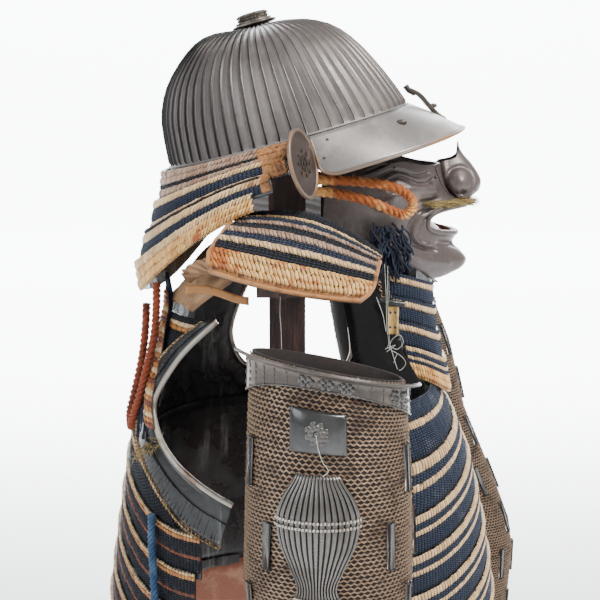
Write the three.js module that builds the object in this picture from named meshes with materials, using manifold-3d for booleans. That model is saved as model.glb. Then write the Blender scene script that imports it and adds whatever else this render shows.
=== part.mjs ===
// A Japanese laced armour, displayed on a wooden stand: ribbed iron helmet with a laced neck guard,
// iron face mask with a laced throat guard, a wrap-around lamellar cuirass that opens down the
// wearer's right side, shoulder flaps, skirt panels and a pair of armoured sleeves.
//
// Millimetres. +Z is up, the floor is z = 0, the wearer faces -Y and the wearer's left is +X.
// The cuirass is unfastened, so its two right-hand ends stand apart and hang a little lower.

import * as THREE from "three";
import Module from "manifold-3d";
import { mergeVertices } from "three/addons/utils/BufferGeometryUtils.js";

const wasm = await Module();
wasm.setup();

const { lerp, clamp, smoothstep, degToRad } = THREE.MathUtils;
const RIGHT = -1;
const LEFT = 1;
const CLEARANCE = 0.4; // between touching pieces

const armour = new THREE.Group();
armour.name = "samurai_armour";

function material(color, roughness, metalness) {
  return new THREE.MeshStandardMaterial({ color, roughness, metalness });
}

const russetIron = material(0x4d4341, 0.5, 0.6);
const blackLacquer = material(0x17171a, 0.3, 0.1);
const goldLacquer = material(0xb89a6a, 0.6, 0.2);
const indigoLacing = material(0x2b3c58, 0.9, 0);
const mailCloth = material(0x5d4a40, 0.7, 0.4);
const leather = material(0x8a5a38, 0.8, 0);
const orangeCord = material(0xb8622c, 0.9, 0);
const hair = material(0x8d7b55, 0.9, 0);
const wood = material(0x4a342b, 0.6, 0);

function add(name, geometry, finish, parent = armour) {
  const mesh = new THREE.Mesh(geometry, finish);
  mesh.name = name;
  parent.add(mesh);
  return mesh;
}

// ---------------------------------------------------------------- walls and lofts

function geometryFrom(points, triangles) {
  const flat = new Float32Array(points.flatMap((p) => [p.x, p.y, p.z]));
  const geometry = new THREE.BufferGeometry();
  geometry.setAttribute("position", new THREE.BufferAttribute(flat, 3));
  geometry.setIndex(facingOut(points, triangles).flat());
  return geometry;
}

// Turns every triangle round if together they enclose a negative volume.
function facingOut(points, triangles) {
  const sum = (total, [a, b, c]) =>
    total + points[a].dot(new THREE.Vector3().crossVectors(points[b], points[c]));
  return triangles.reduce(sum, 0) < 0 ? triangles.map(([a, b, c]) => [a, c, b]) : triangles;
}

// A wall of even thickness on the surface point(s, t), with s and t from 0 to 1. The surface is the
// wall's outer face. A closed wall is a tube: its last column is its first.
function wall(point, columns, rows, thickness, closed = false) {
  const width = closed ? columns : columns + 1;
  const outer = [];
  const inner = [];
  const step = 1e-3;
  for (let j = 0; j <= rows; j++) {
    for (let i = 0; i < width; i++) {
      const s = i / columns;
      const t = j / rows;
      const before = [closed ? s - step : Math.max(0, s - step), Math.max(0, t - step)];
      const after = [closed ? s + step : Math.min(1, s + step), Math.min(1, t + step)];
      const alongS = point(after[0], t).sub(point(before[0], t));
      const alongT = point(s, after[1]).sub(point(s, before[1]));
      const inward = alongS.cross(alongT).normalize().multiplyScalar(thickness);
      outer.push(point(s, t));
      inner.push(point(s, t).add(inward));
    }
  }
  const points = [...outer, ...inner];
  const at = (i, j, skin) => skin * outer.length + j * width + (i % width);
  const triangles = [];
  const quad = (a, b, c, d) => triangles.push([a, b, c], [a, c, d]);
  for (let j = 0; j < rows; j++) {
    for (let i = 0; i < columns; i++) {
      quad(at(i, j, 0), at(i + 1, j, 0), at(i + 1, j + 1, 0), at(i, j + 1, 0));
      quad(at(i, j + 1, 1), at(i + 1, j + 1, 1), at(i + 1, j, 1), at(i, j, 1));
    }
  }
  for (let i = 0; i < columns; i++) {
    quad(at(i + 1, 0, 0), at(i, 0, 0), at(i, 0, 1), at(i + 1, 0, 1));
    quad(at(i, rows, 0), at(i + 1, rows, 0), at(i + 1, rows, 1), at(i, rows, 1));
  }
  for (let j = 0; !closed && j < rows; j++) {
    quad(at(0, j, 0), at(0, j + 1, 0), at(0, j + 1, 1), at(0, j, 1));
    quad(at(columns, j + 1, 0), at(columns, j, 0), at(columns, j, 1), at(columns, j + 1, 1));
  }
  return geometryFrom(points, triangles);
}

// A solid through closed rings with the same number of points, capped at both ends.
function loft(rings) {
  const count = rings[0].length;
  const points = rings.flat();
  const triangles = [];
  for (let r = 0; r + 1 < rings.length; r++) {
    for (let i = 0; i < count; i++) {
      const [a, b] = [r * count + i, r * count + ((i + 1) % count)];
      triangles.push([a, b, b + count], [a, b + count, a + count]);
    }
  }
  const last = (rings.length - 1) * count;
  for (let i = 1; i + 1 < count; i++) {
    triangles.push([0, i + 1, i], [last, last + i, last + i + 1]);
  }
  return geometryFrom(points, triangles);
}

// Reads a table of rows at a place on its first column, straight between its rows.
function readTable(table, column, place) {
  const rising = table.at(-1)[column] > table[0][column];
  const rows = rising ? table : [...table].reverse();
  const x = clamp(place, rows[0][column], rows.at(-1)[column]);
  const k = Math.max(1, rows.findIndex((row) => row[column] >= x));
  const share = (x - rows[k - 1][column]) / (rows[k][column] - rows[k - 1][column]);
  const read = {};
  for (const key in rows[0]) read[key] = lerp(rows[k - 1][key], rows[k][key], share);
  return read;
}

function solidOf(geometry) {
  const bare = geometry.clone();
  bare.deleteAttribute("normal");
  bare.deleteAttribute("uv");
  const merged = mergeVertices(bare, 1e-3);
  return new wasm.Manifold(
    new wasm.Mesh({
      numProp: 3,
      vertProperties: merged.attributes.position.array,
      triVerts: new Uint32Array(merged.index.array),
    }),
  );
}

function cut(geometry, tool) {
  const mesh = solidOf(geometry).subtract(solidOf(tool)).getMesh();
  const made = new THREE.BufferGeometry();
  made.setAttribute("position", new THREE.BufferAttribute(mesh.vertProperties, 3));
  made.setIndex(new THREE.BufferAttribute(mesh.triVerts, 1));
  return made;
}

function cord(points, radius, steps, sides = 6) {
  const section = new THREE.Shape();
  for (let i = 0; i < sides; i++) {
    const turn = (2 * Math.PI * i) / sides;
    section[i ? "lineTo" : "moveTo"](radius * Math.cos(turn), radius * Math.sin(turn));
  }
  const extrudePath = new THREE.CatmullRomCurve3(points.map((p) => new THREE.Vector3(...p)));
  return new THREE.ExtrudeGeometry(section, { steps, extrudePath, bevelEnabled: false });
}

// ---------------------------------------------------------------- the wooden stand

const POST = { x: 0, y: 14, side: 40, top: 1264 };
const BASE = { width: 420, depth: 440, height: 34 };
const SHOULDER_BAR = { length: 264, depth: 66, height: 24, y: 10, z: 1030 };
const HEAD_DISC = { radius: 44, height: 27, rim: 9 };

function box(width, depth, height, x, y, bottom) {
  return new THREE.BoxGeometry(width, depth, height).translate(x, y, bottom + height / 2);
}

// The bar is let on over the post, so it has a square hole with a little play.
const postHole = box(
  POST.side + 2 * CLEARANCE, POST.side + 2 * CLEARANCE, 3 * SHOULDER_BAR.height,
  POST.x, POST.y, SHOULDER_BAR.z - SHOULDER_BAR.height,
);
const shoulderBar = box(
  SHOULDER_BAR.length, SHOULDER_BAR.depth, SHOULDER_BAR.height,
  POST.x, SHOULDER_BAR.y, SHOULDER_BAR.z,
);
const headDisc = new THREE.LatheGeometry(
  [
    new THREE.Vector2(0, 0),
    new THREE.Vector2(HEAD_DISC.radius, 0),
    new THREE.Vector2(HEAD_DISC.radius, HEAD_DISC.rim),
    new THREE.Vector2(HEAD_DISC.radius * 0.7, HEAD_DISC.height * 0.8),
    new THREE.Vector2(0, HEAD_DISC.height),
  ],
  20,
).rotateX(Math.PI / 2).translate(POST.x, POST.y, POST.top + CLEARANCE);

add("stand_base", box(BASE.width, BASE.depth, BASE.height, POST.x, POST.y, 0), wood);
add(
  "stand_post",
  box(
    POST.side, POST.side, POST.top - BASE.height - CLEARANCE,
    POST.x, POST.y, BASE.height + CLEARANCE,
  ),
  wood,
);
add("stand_shoulder_bar", cut(shoulderBar, postHole), wood);
add("stand_head_disc", headDisc, wood);

// ---------------------------------------------------------------- the helmet

// The helmet sits tilted back on the stand. Its own frame has the bowl's rim at z = 0.
const HELMET = { y: 14.4, z: 1183.5, tilt: 15.5 };
const helmet = new THREE.Group();
helmet.position.set(0, HELMET.y, HELMET.z);
helmet.rotation.x = -degToRad(HELMET.tilt);
armour.add(helmet);

const PLATE = 2.2;
// Rings of the bowl from the vent down: its reach in front, behind and to the side, each with the
// height there. The crown is a little sunk, and the bowl is fullest behind.
const BOWL_RINGS = [
  { front: 12, frontH: 111, back: 12, backH: 111.5, side: 12, sideH: 111 },
  { front: 26, frontH: 113.5, back: 26, backH: 117, side: 26, sideH: 113.5 },
  { front: 40, frontH: 111.5, back: 45, backH: 120, side: 42, sideH: 114 },
  { front: 58, frontH: 106.5, back: 64, backH: 117, side: 62, sideH: 108 },
  { front: 78, frontH: 95, back: 83, backH: 106, side: 80, sideH: 96 },
  { front: 94, frontH: 77, back: 103, backH: 88, side: 95, sideH: 76 },
  { front: 108, frontH: 53, back: 115.5, backH: 70, side: 104.5, sideH: 52 },
  { front: 121.5, frontH: 24, back: 124.5, backH: 45, side: 110, sideH: 25 },
  { front: 130.5, frontH: 0, back: 129, backH: 4, side: 112, sideH: 1 },
  { front: 131.5, frontH: -13, back: 130.5, backH: -13, side: 112.5, sideH: -13 },
];

// A point round an oval with its front at angle 0 and the wearer's left at 90 degrees.
function round(angle, side, front, back, height) {
  const turn = degToRad(angle);
  const depth = Math.cos(turn) > 0 ? front : back;
  return new THREE.Vector3(side * Math.sin(turn), -depth * Math.cos(turn), height);
}

function bowlPoint(s, t) {
  const place = clamp(t, 0, 1) * (BOWL_RINGS.length - 1);
  const k = Math.min(Math.floor(place), BOWL_RINGS.length - 2);
  const read = (key) => lerp(BOWL_RINGS[k][key], BOWL_RINGS[k + 1][key], place - k);
  const ahead = Math.cos(degToRad(360 * s));
  const height = lerp(read("sideH"), read(ahead > 0 ? "frontH" : "backH"), ahead ** 2);
  return round(360 * s, read("side"), read("front"), read("back"), height);
}

add("helmet_bowl", wall(bowlPoint, 32, BOWL_RINGS.length - 1, PLATE, true), russetIron, helmet);

// The crown fitting is a stack of beaded rings round the vent in the top of the bowl.
const CROWN = { base: 20.5, upper: 14, vent: 7, y: 2, seat: 116.6, ring: 4, height: 10.5 };
const crownProfile = [
  [CROWN.vent, -3], [CROWN.vent + 4, -3], [CROWN.vent + 7, 0], [CROWN.base, 0],
  [CROWN.base, CROWN.ring - 1], [CROWN.upper + 3, CROWN.ring], [CROWN.upper, CROWN.ring + 2],
  [CROWN.upper, CROWN.height], [CROWN.vent, CROWN.height], [CROWN.vent, -3],
];
add(
  "crown_fitting",
  new THREE.LatheGeometry(crownProfile.map(([r, h]) => new THREE.Vector2(r, h)), 14)
    .rotateX(Math.PI / 2)
    .translate(0, CROWN.y, CROWN.seat),
  russetIron,
  helmet,
);

const VISOR = { spread: 80, out: 50, sideOut: 8, down: 40, sideDown: 42, top: -3, corner: 7 };
const VISOR_ANGLES = [-80, -79, -77, -73, -62, -50, -38, -26, -13];
const visorStops = [...VISOR_ANGLES, 0, ...[...VISOR_ANGLES].reverse().map((angle) => -angle)];

// Reads a list at a share of its length, straight between its entries.
function readList(list, share) {
  const place = clamp(share, 0, 1) * (list.length - 1);
  const k = Math.min(Math.floor(place), list.length - 2);
  return lerp(list[k], list[k + 1], place - k);
}

function visorPoint(s, t) {
  const angle = readList(visorStops, s);
  const ahead = Math.max(0, Math.cos(degToRad(angle)));
  const fromEnd = clamp((VISOR.spread - Math.abs(angle)) / VISOR.corner, 0, 1);
  const reach = t * lerp(0.72, 1, Math.sqrt(1 - (1 - fromEnd) ** 2));
  const out = PLATE + 1.4 + reach * lerp(VISOR.sideOut, VISOR.out, ahead ** 1.3);
  const height = VISOR.top - reach * lerp(VISOR.sideDown, VISOR.down, ahead);
  return round(angle, 112 + out, 132 + out, 132 + out, height);
}

add("visor", wall(visorPoint, visorStops.length - 1, 3, PLATE), russetIron, helmet);

// Neck guard: each lame's top lies outside the foot of the one above. The seams between lames fan
// out behind and close up towards the two front ends. The guard hangs a little lower on the left.
const NECK_SEAMS = [
  { backDrop: 0, backOut: 4, endDrop: 0, endOut: 4 },
  { backDrop: 29, backOut: 21, endDrop: 12, endOut: 16 },
  { backDrop: 57, backOut: 40, endDrop: 24, endOut: 28 },
  { backDrop: 86, backOut: 61, endDrop: 36, endOut: 40 },
  { backDrop: 114, backOut: 69, endDrop: 47, endOut: 48 },
];
const NECK = {
  lames: 4, firstSpan: 95, spanStep: 6.5, top: -1, overlap: 6, step: 3.2, thick: 2.4, askew: 22,
};

function neckPoint(lame, s, t) {
  const span = NECK.firstSpan - lame * NECK.spanStep;
  const angle = 180 + lerp(-span, span, s);
  const towardsEnd = smoothstep(Math.abs(angle - 180), 0, 80);
  const [upper, lower] = [NECK_SEAMS[lame], NECK_SEAMS[lame + 1]];
  const drop = (seam) => lerp(seam.backDrop, seam.endDrop, towardsEnd);
  const outOf = (seam) => lerp(seam.backOut, seam.endOut, towardsEnd);
  const leftward = Math.sin(Math.PI * clamp((180 - angle) / 64, 0, 1));
  const askew = NECK.askew * ((lame + t) / NECK.lames) ** 2 * leftward;
  const height = NECK.top - askew - lerp(drop(upper), drop(lower) + NECK.overlap, t);
  const out = lerp(outOf(upper) + NECK.step, outOf(lower), t);
  return round(angle, 112 + out, 132.4 + out, 132.4 + out, height);
}

for (let lame = 0; lame < NECK.lames; lame++) {
  const solid = wall((s, t) => neckPoint(lame, s, t), 22, 1, NECK.thick);
  add(`neck_lame_${lame + 1}`, solid, goldLacquer, helmet);
}

// The turnbacks are ear-shaped plates that stand out from the front ends of the first neck lame.
const TURNBACK = { x: 145, y: -4, z: 1163, wide: 27, tall: 33, thick: 2.5, lean: -17, back: 26 };

function turnback(side) {
  const oval = new THREE.Shape().absellipse(0, 0, TURNBACK.wide, TURNBACK.tall, 0, 2 * Math.PI);
  const plate = new THREE.ExtrudeGeometry(oval, {
    depth: TURNBACK.thick, bevelEnabled: false, curveSegments: 10,
  });
  const outward = new THREE.Vector3(side * 2 * TURNBACK.wide, TURNBACK.back, 0).normalize();
  const upward = new THREE.Vector3(0, -TURNBACK.lean, 2 * TURNBACK.tall).normalize();
  const facing = new THREE.Vector3().crossVectors(outward, upward).normalize();
  if (side === LEFT) plate.translate(0, 0, -TURNBACK.thick);
  upward.crossVectors(facing, outward);
  plate.applyMatrix4(new THREE.Matrix4().makeBasis(outward, upward, facing));
  return plate.translate(side * TURNBACK.x, TURNBACK.y, TURNBACK.z);
}

add("turnback_right", turnback(RIGHT), leather);
add("turnback_left", turnback(LEFT), leather);

// The crest holder is a bent strip on the visor's centre line.
const CREST_HOLDER = { width: 16, thick: 3.4 };
const CREST_BENDS = [
  { y: -150, z: 1208 }, { y: -141, z: 1212 }, { y: -136, z: 1217 },
  { y: -124, z: 1229 }, { y: -117, z: 1229.5 },
];

function strip(bends, thick, width, x) {
  const outline = new THREE.Shape();
  bends.forEach(({ y, z }, k) => outline[k ? "lineTo" : "moveTo"](y, z));
  [...bends].reverse().forEach(({ y, z }) => outline.lineTo(y + thick * 0.4, z - thick));
  const made = new THREE.ExtrudeGeometry(outline, { depth: width, bevelEnabled: false });
  const turn = new THREE.Matrix4().makeBasis(
    new THREE.Vector3(0, 1, 0), new THREE.Vector3(0, 0, 1), new THREE.Vector3(1, 0, 0),
  );
  return made.applyMatrix4(turn).translate(x - width / 2, 0, 0);
}

add("crest_holder", strip(CREST_BENDS, CREST_HOLDER.thick, CREST_HOLDER.width, 0), russetIron);

// Each chin cord comes out from inside the helmet, loops over the mask's cheek and goes back in.
const CHIN_CORD = { radius: 4.6, steps: 22 };
const CHIN_CORD_ROUTE = [
  [92, -4, 1145], [89, -22, 1142], [87, -48, 1141], [85, -72, 1139], [82, -96, 1134],
  [80, -111, 1125], [80, -115, 1114], [81, -107, 1106], [83, -94, 1110], [86, -74, 1119],
  [89, -50, 1126], [92, -28, 1130], [94, -10, 1132],
];
for (const [name, side] of [["chin_cord_right", RIGHT], ["chin_cord_left", LEFT]]) {
  const route = CHIN_CORD_ROUTE.map(([x, y, z]) => [side * x, y, z]);
  add(name, cord(route, CHIN_CORD.radius, CHIN_CORD.steps), orangeCord);
}

// ---------------------------------------------------------------- the face mask

const MASK = { back: -45, spread: 100, thick: 2.4, top: 1158, earTop: 1140, chin: 1027, jaw: 1082 };
const MASK_SECTIONS = [
  { z: 1158, half: 67, front: 152 },
  { z: 1145, half: 70, front: 155 },
  { z: 1122, half: 71, front: 161 },
  { z: 1106, half: 69, front: 170 },
  { z: 1091, half: 66, front: 166 },
  { z: 1075, half: 64, front: 172 },
  { z: 1060, half: 60, front: 171 },
  { z: 1044, half: 54, front: 184 },
  { z: 1034, half: 46, front: 177 },
  { z: 1027, half: 38, front: 160 },
];
const MOUTH = { z: 1091, wide: 31, tall: 13 };

function maskPoint(s, t) {
  const angle = lerp(-MASK.spread, MASK.spread, s);
  const aside = Math.abs(angle) / MASK.spread;
  const top = lerp(MASK.top, MASK.earTop, smoothstep(aside, 0.5, 1));
  const bottom = lerp(MASK.chin, MASK.jaw, smoothstep(aside, 0.25, 1));
  const z = lerp(top, bottom, t);
  const { half, front } = readTable(MASK_SECTIONS, "z", z);
  const turn = degToRad(angle);
  const ahead = Math.cos(turn);
  return new THREE.Vector3(
    half * Math.sin(turn) * (1 - 0.12 * Math.max(0, ahead) ** 3),
    MASK.back - (front + MASK.back) * ahead,
    z,
  );
}

function ellipsePrism(wide, tall, x, z, nearY, farY) {
  const oval = new THREE.Shape().absellipse(0, 0, wide, tall, 0, 2 * Math.PI);
  const prism = new THREE.ExtrudeGeometry(oval, {
    depth: farY - nearY, bevelEnabled: false, curveSegments: 8,
  });
  return prism.rotateX(Math.PI / 2).translate(x, farY, z);
}

const mouthHole = ellipsePrism(MOUTH.wide, MOUTH.tall, 0, MOUTH.z, -230, -110);
add("mask_face", cut(wall(maskPoint, 18, 12, MASK.thick), mouthHole), russetIron);

// The nose is a separate piece that hooks on over the bridge.
const NOSE_SECTIONS = [
  { z: 1175, half: 3, tip: 172, root: 167 },
  { z: 1166, half: 9, tip: 175, root: 160 },
  { z: 1152, half: 15, tip: 187, root: 158 },
  { z: 1136, half: 21, tip: 197, root: 161 },
  { z: 1124, half: 22, tip: 196, root: 166 },
  { z: 1115.5, half: 17, tip: 187, root: 172 },
];

function noseRing({ z, half, tip, root }) {
  const count = 8;
  return Array.from({ length: count + 1 }, (_, k) => {
    const turn = degToRad(lerp(-90, 90, k / count));
    return new THREE.Vector3(half * Math.sin(turn), -root - (tip - root) * Math.cos(turn), z);
  });
}

add("mask_nose", loft(NOSE_SECTIONS.map(noseRing)), russetIron);

const MOUSTACHE = { half: 34, y: -186, z: 1108.5, reach: 13, thick: 4.2, droop: 0.12, sweep: 0.2 };

function moustacheRing(x) {
  const share = Math.sqrt(Math.max(0.05, 1 - (x / (MOUSTACHE.half + 2)) ** 2));
  return Array.from({ length: 8 }, (_, k) => {
    const turn = (Math.PI * k) / 4;
    return new THREE.Vector3(
      x,
      MOUSTACHE.y + MOUSTACHE.sweep * Math.abs(x) + MOUSTACHE.reach * share * Math.cos(turn),
      MOUSTACHE.z - MOUSTACHE.droop * Math.abs(x) + MOUSTACHE.thick * share * Math.sin(turn),
    );
  });
}

const moustacheStops = [-1, -0.6, -0.2, 0.2, 0.6, 1].map((share) => share * MOUSTACHE.half);
add("moustache", loft(moustacheStops.map(moustacheRing)), hair);

// Throat guard: four lames that hang from the jaw and lie over the chest.
const THROAT = { lames: 4, spread: 69, y: -62, overlap: 5, step: 3, thick: 2.2 };
const THROAT_SEAMS = [
  { frontZ: 1023, endZ: 1049, half: 78, ahead: 82, power: 2 },
  { frontZ: 998, endZ: 1025, half: 81, ahead: 85, power: 2.1 },
  { frontZ: 970, endZ: 1000, half: 84, ahead: 89, power: 2.4 },
  { frontZ: 941, endZ: 974, half: 88, ahead: 96, power: 2.8 },
  { frontZ: 903, endZ: 941, half: 92, ahead: 106, power: 3.2 },
];

function throatPoint(lame, s, t) {
  const angle = lerp(-THROAT.spread, THROAT.spread, s);
  const [upper, lower] = [THROAT_SEAMS[lame], THROAT_SEAMS[lame + 1]];
  const read = (key) => lerp(upper[key], lower[key], t);
  const overlap = lame + 1 < THROAT.lames ? THROAT.overlap * t : 0;
  const aside = Math.sin(degToRad(angle));
  const out = THROAT.step * (1 - t);
  const bend = 2 / read("power");
  return new THREE.Vector3(
    (read("half") + out) * Math.sign(aside) * Math.abs(aside) ** bend,
    THROAT.y - (read("ahead") + out) * Math.cos(degToRad(angle)) ** bend,
    lerp(read("frontZ"), read("endZ"), aside ** 2) - overlap,
  );
}

for (let lame = 0; lame < THROAT.lames; lame++) {
  const solid = wall((s, t) => throatPoint(lame, s, t), 14, 1, THROAT.thick);
  add(`throat_lame_${lame + 1}`, solid, indigoLacing);
}

// ---------------------------------------------------------------- the cuirass

// The form of the wearer's trunk under the lames: half width, depth in front and behind, and how
// square the section is.
const TRUNK = [
  { z: 1010, half: 128, front: 118, back: 138, square: 2.8 },
  { z: 965, half: 150, front: 132, back: 155, square: 2.8 },
  { z: 925, half: 166, front: 142, back: 167, square: 2.8 },
  { z: 903, half: 174, front: 155, back: 174, square: 2.7 },
  { z: 868, half: 183, front: 174, back: 183, square: 2.6 },
  { z: 830, half: 189, front: 188, back: 190, square: 2.5 },
  { z: 755, half: 196, front: 206, back: 202, square: 2.4 },
  { z: 685, half: 200, front: 218, back: 213, square: 2.4 },
  { z: 600, half: 202, front: 223, back: 218, square: 2.4 },
];

function trunk(angle, z, out) {
  const { half, front, back, square } = readTable(TRUNK, "z", z);
  const [aside, ahead] = [Math.sin(degToRad(angle)), Math.cos(degToRad(angle))];
  const depth = ahead > 0 ? front : back;
  return new THREE.Vector3(
    (half + out) * Math.sign(aside) * Math.abs(aside) ** (2 / square),
    -(depth + out) * Math.sign(ahead) * Math.abs(ahead) ** (2 / square),
    z,
  );
}

const LAME = { pitch: 40, overlap: 8, step: 4.2, thick: 2.4, top: 842 };
const OPENING = { front: -68, back: 245, frontSag: 29, backSag: 42, lowest: 240 };

// The free ends of the lames hang lower than the rest.
function sag(angle) {
  return (
    OPENING.frontSag * smoothstep(-angle, 8, -OPENING.front + 2) +
    OPENING.backSag * smoothstep(angle, 186, OPENING.lowest)
  );
}

function lamePoint(from, to, top, height, s, t) {
  const angle = lerp(from, to, s);
  return trunk(angle, top - t * height - sag(angle), LAME.step * (1 - t));
}

const WRAP = { lames: 6, columns: 38, frontStep: 0.7, backStep: 1.3 };
for (let lame = 0; lame < WRAP.lames; lame++) {
  const from = OPENING.front + lame * WRAP.frontStep;
  const to = OPENING.back - lame * WRAP.backStep;
  const top = LAME.top - lame * LAME.pitch;
  const height = LAME.pitch + LAME.overlap;
  const solid = wall((s, t) => lamePoint(from, to, top, height, s, t), WRAP.columns, 1, LAME.thick);
  add(`wrap_lame_${lame + 1}`, solid, indigoLacing);
}

// The upper rows end at the armholes, so their reach to the right and left changes with height.
const FRONT_REACH = [
  { z: 925, right: 64, left: 68 }, { z: 900, right: 62, left: 66 },
  { z: 880, right: 62, left: 68 }, { z: 840, right: 65, left: 74 },
];
const BACK_REACH = [
  { z: 1005, right: 57, left: 64 }, { z: 965, right: 43, left: 62 }, { z: 924, right: 35, left: 60 },
  { z: 895, right: 40, left: 60 }, { z: 873, right: 49, left: 64 }, { z: 834, right: 57, left: 72 },
];
const UPPER_TOP = 925; // the sag of the free ends begins below this height

function upperPoint({ back, top, height }, s, t) {
  const z = top - t * height;
  const { right, left } = readTable(back ? BACK_REACH : FRONT_REACH, "z", z);
  const angle = back ? lerp(180 - left, 180 + right, s) : lerp(-right, left, s);
  const droop = sag(angle) * smoothstep(UPPER_TOP - z, 0, UPPER_TOP - LAME.top);
  return trunk(angle, z - droop, LAME.step * (1 - t));
}

const UPPER_ROWS = [
  { name: "chest_plate", back: false, top: 925, height: 51, finish: blackLacquer },
  { name: "front_upper_lame", back: false, top: 882, height: 48, finish: indigoLacing },
  { name: "back_plate", back: true, top: 1004, height: 50, finish: blackLacquer },
  { name: "back_upper_lame_1", back: true, top: 962, height: 48, finish: indigoLacing },
  { name: "back_upper_lame_2", back: true, top: 922, height: 48, finish: indigoLacing },
  { name: "back_upper_lame_3", back: true, top: 882, height: 48, finish: indigoLacing },
];
for (const row of UPPER_ROWS) {
  add(row.name, wall((s, t) => upperPoint(row, s, t), 18, 2, LAME.thick), row.finish);
}

// The armpit plates edge the armholes: `angle, z` is the rolled rim and `footAngle, footZ` the edge
// that covers the ends of the lames. Each runs from its front end to its back end or its corner.
const ARMPIT = { out: 8.4, thick: 2.2 };
const ARMPIT_RIGHT_BACK = [
  { angle: 243.6, z: 1005, footAngle: 236, footZ: 1004 },
  { angle: 229, z: 970, footAngle: 216, footZ: 965 },
  { angle: 218.4, z: 924, footAngle: 205, footZ: 915 },
  { angle: 224, z: 895, footAngle: 211, footZ: 875 },
  { angle: 233.6, z: 873, footAngle: 225, footZ: 843 },
  { angle: 246, z: 851, footAngle: 240, footZ: 808 },
  { angle: 255.5, z: 836, footAngle: 252, footZ: 792 },
];
const ARMPIT_RIGHT_FRONT = [
  { angle: -75, z: 826, footAngle: -69, footZ: 792 },
  { angle: -73, z: 850, footAngle: -62, footZ: 828 },
  { angle: -72, z: 886, footAngle: -60, footZ: 876 },
  { angle: -73, z: 922, footAngle: -62, footZ: 920 },
];
const ARMPIT_LEFT = [
  { angle: 72, z: 928, footAngle: 61, footZ: 924 },
  { angle: 73, z: 890, footAngle: 62, footZ: 878 },
  { angle: 79, z: 866, footAngle: 71, footZ: 840 },
  { angle: 90, z: 857, footAngle: 88, footZ: 824 },
  { angle: 101, z: 864, footAngle: 107, footZ: 834 },
  { angle: 109, z: 885, footAngle: 121, footZ: 870 },
  { angle: 113, z: 924, footAngle: 125, footZ: 915 },
  { angle: 111, z: 965, footAngle: 123, footZ: 960 },
  { angle: 107, z: 1005, footAngle: 119, footZ: 1004 },
];

function armpitPlate(stations) {
  const last = stations.length - 1;
  const point = (s, t) => {
    const place = clamp(s, 0, 1) * last;
    const k = Math.min(Math.floor(place), last - 1);
    const read = (key) => lerp(stations[k][key], stations[k + 1][key], place - k);
    const angle = lerp(read("angle"), read("footAngle"), t);
    return trunk(angle, lerp(read("z"), read("footZ"), t), ARMPIT.out);
  };
  return wall(point, 2 * last, 1, ARMPIT.thick);
}

add("armpit_plate_right_back", armpitPlate(ARMPIT_RIGHT_BACK), blackLacquer);
add("armpit_plate_right_front", armpitPlate(ARMPIT_RIGHT_FRONT), blackLacquer);
add("armpit_plate_left", armpitPlate(ARMPIT_LEFT), blackLacquer);

// Shoulder straps of padded leather, from the back plate over the stand's bar to the chest plate,
// by their inner (neck) and outer (arm) edges.
const STRAP = { thick: 10 };
const STRAP_STATIONS = [
  { innerX: 62, innerY: 140, innerZ: 1014, outerX: 112, outerY: 116, outerZ: 1014 },
  { innerX: 80, innerY: 108, innerZ: 1050, outerX: 132, outerY: 86, outerZ: 1040 },
  { innerX: 92, innerY: 52, innerZ: 1074, outerX: 142, outerY: 46, outerZ: 1067 },
  { innerX: 94, innerY: -12, innerZ: 1076, outerX: 144, outerY: -14, outerZ: 1068 },
  { innerX: 95, innerY: -52, innerZ: 1062, outerX: 144, outerY: -42, outerZ: 1054 },
  { innerX: 98, innerY: -84, innerZ: 1022, outerX: 144, outerY: -52, outerZ: 1014 },
  { innerX: 104, innerY: -104, innerZ: 974, outerX: 150, outerY: -60, outerZ: 968 },
  { innerX: 108, innerY: -128, innerZ: 932, outerX: 154, outerY: -84, outerZ: 932 },
];

function strapPoint(side, s, t) {
  const place = clamp(side === RIGHT ? s : 1 - s, 0, 1) * (STRAP_STATIONS.length - 1);
  const k = Math.min(Math.floor(place), STRAP_STATIONS.length - 2);
  const read = (key) => lerp(STRAP_STATIONS[k][key], STRAP_STATIONS[k + 1][key], place - k);
  const across = (axis) => lerp(read(`inner${axis}`), read(`outer${axis}`), t);
  return new THREE.Vector3(side * across("X"), across("Y"), across("Z"));
}

for (const [name, side] of [["shoulder_strap_right", RIGHT], ["shoulder_strap_left", LEFT]]) {
  const solid = wall((s, t) => strapPoint(side, s, t), STRAP_STATIONS.length - 1, 2, STRAP.thick);
  add(name, solid, leather);
}

// A long tie cord hangs doubled from under the right strap, down the outside of the back plate.
const BACK_CORD = { radius: 4, steps: 26 };
const backCordRoute = [
  [-84, 148, 1036], [-92, 148, 1012], [-98, 150, 985], [-103, 157, 955], [-104, 165, 925],
  [-103, 174, 898], [-94, 178, 884], [-86, 180, 898], [-86, 173, 925], [-84, 166, 955],
  [-80, 162, 985], [-72, 161, 1012],
];
add("back_cord", cord(backCordRoute, BACK_CORD.radius, BACK_CORD.steps), orangeCord);

// ---------------------------------------------------------------- the shoulder flaps

// A flap's corners by its inner (neck) and outer edges. It arches over the shoulder along its inner
// edge, domes outwards in the middle, and steps out a little at the top of each row.
const FLAP = { rows: 5, thick: 2.4, step: 3.2, arch: 18, droop: -5, dome: 9 };
const FLAP_EDGES = {
  inner: { back: { x: 118, y: 52, z: 1110 }, front: { x: 150, y: -80, z: 1075 } },
  outer: { back: { x: 205, y: 91, z: 1073 }, front: { x: 215, y: -65, z: 1044 } },
};

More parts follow.
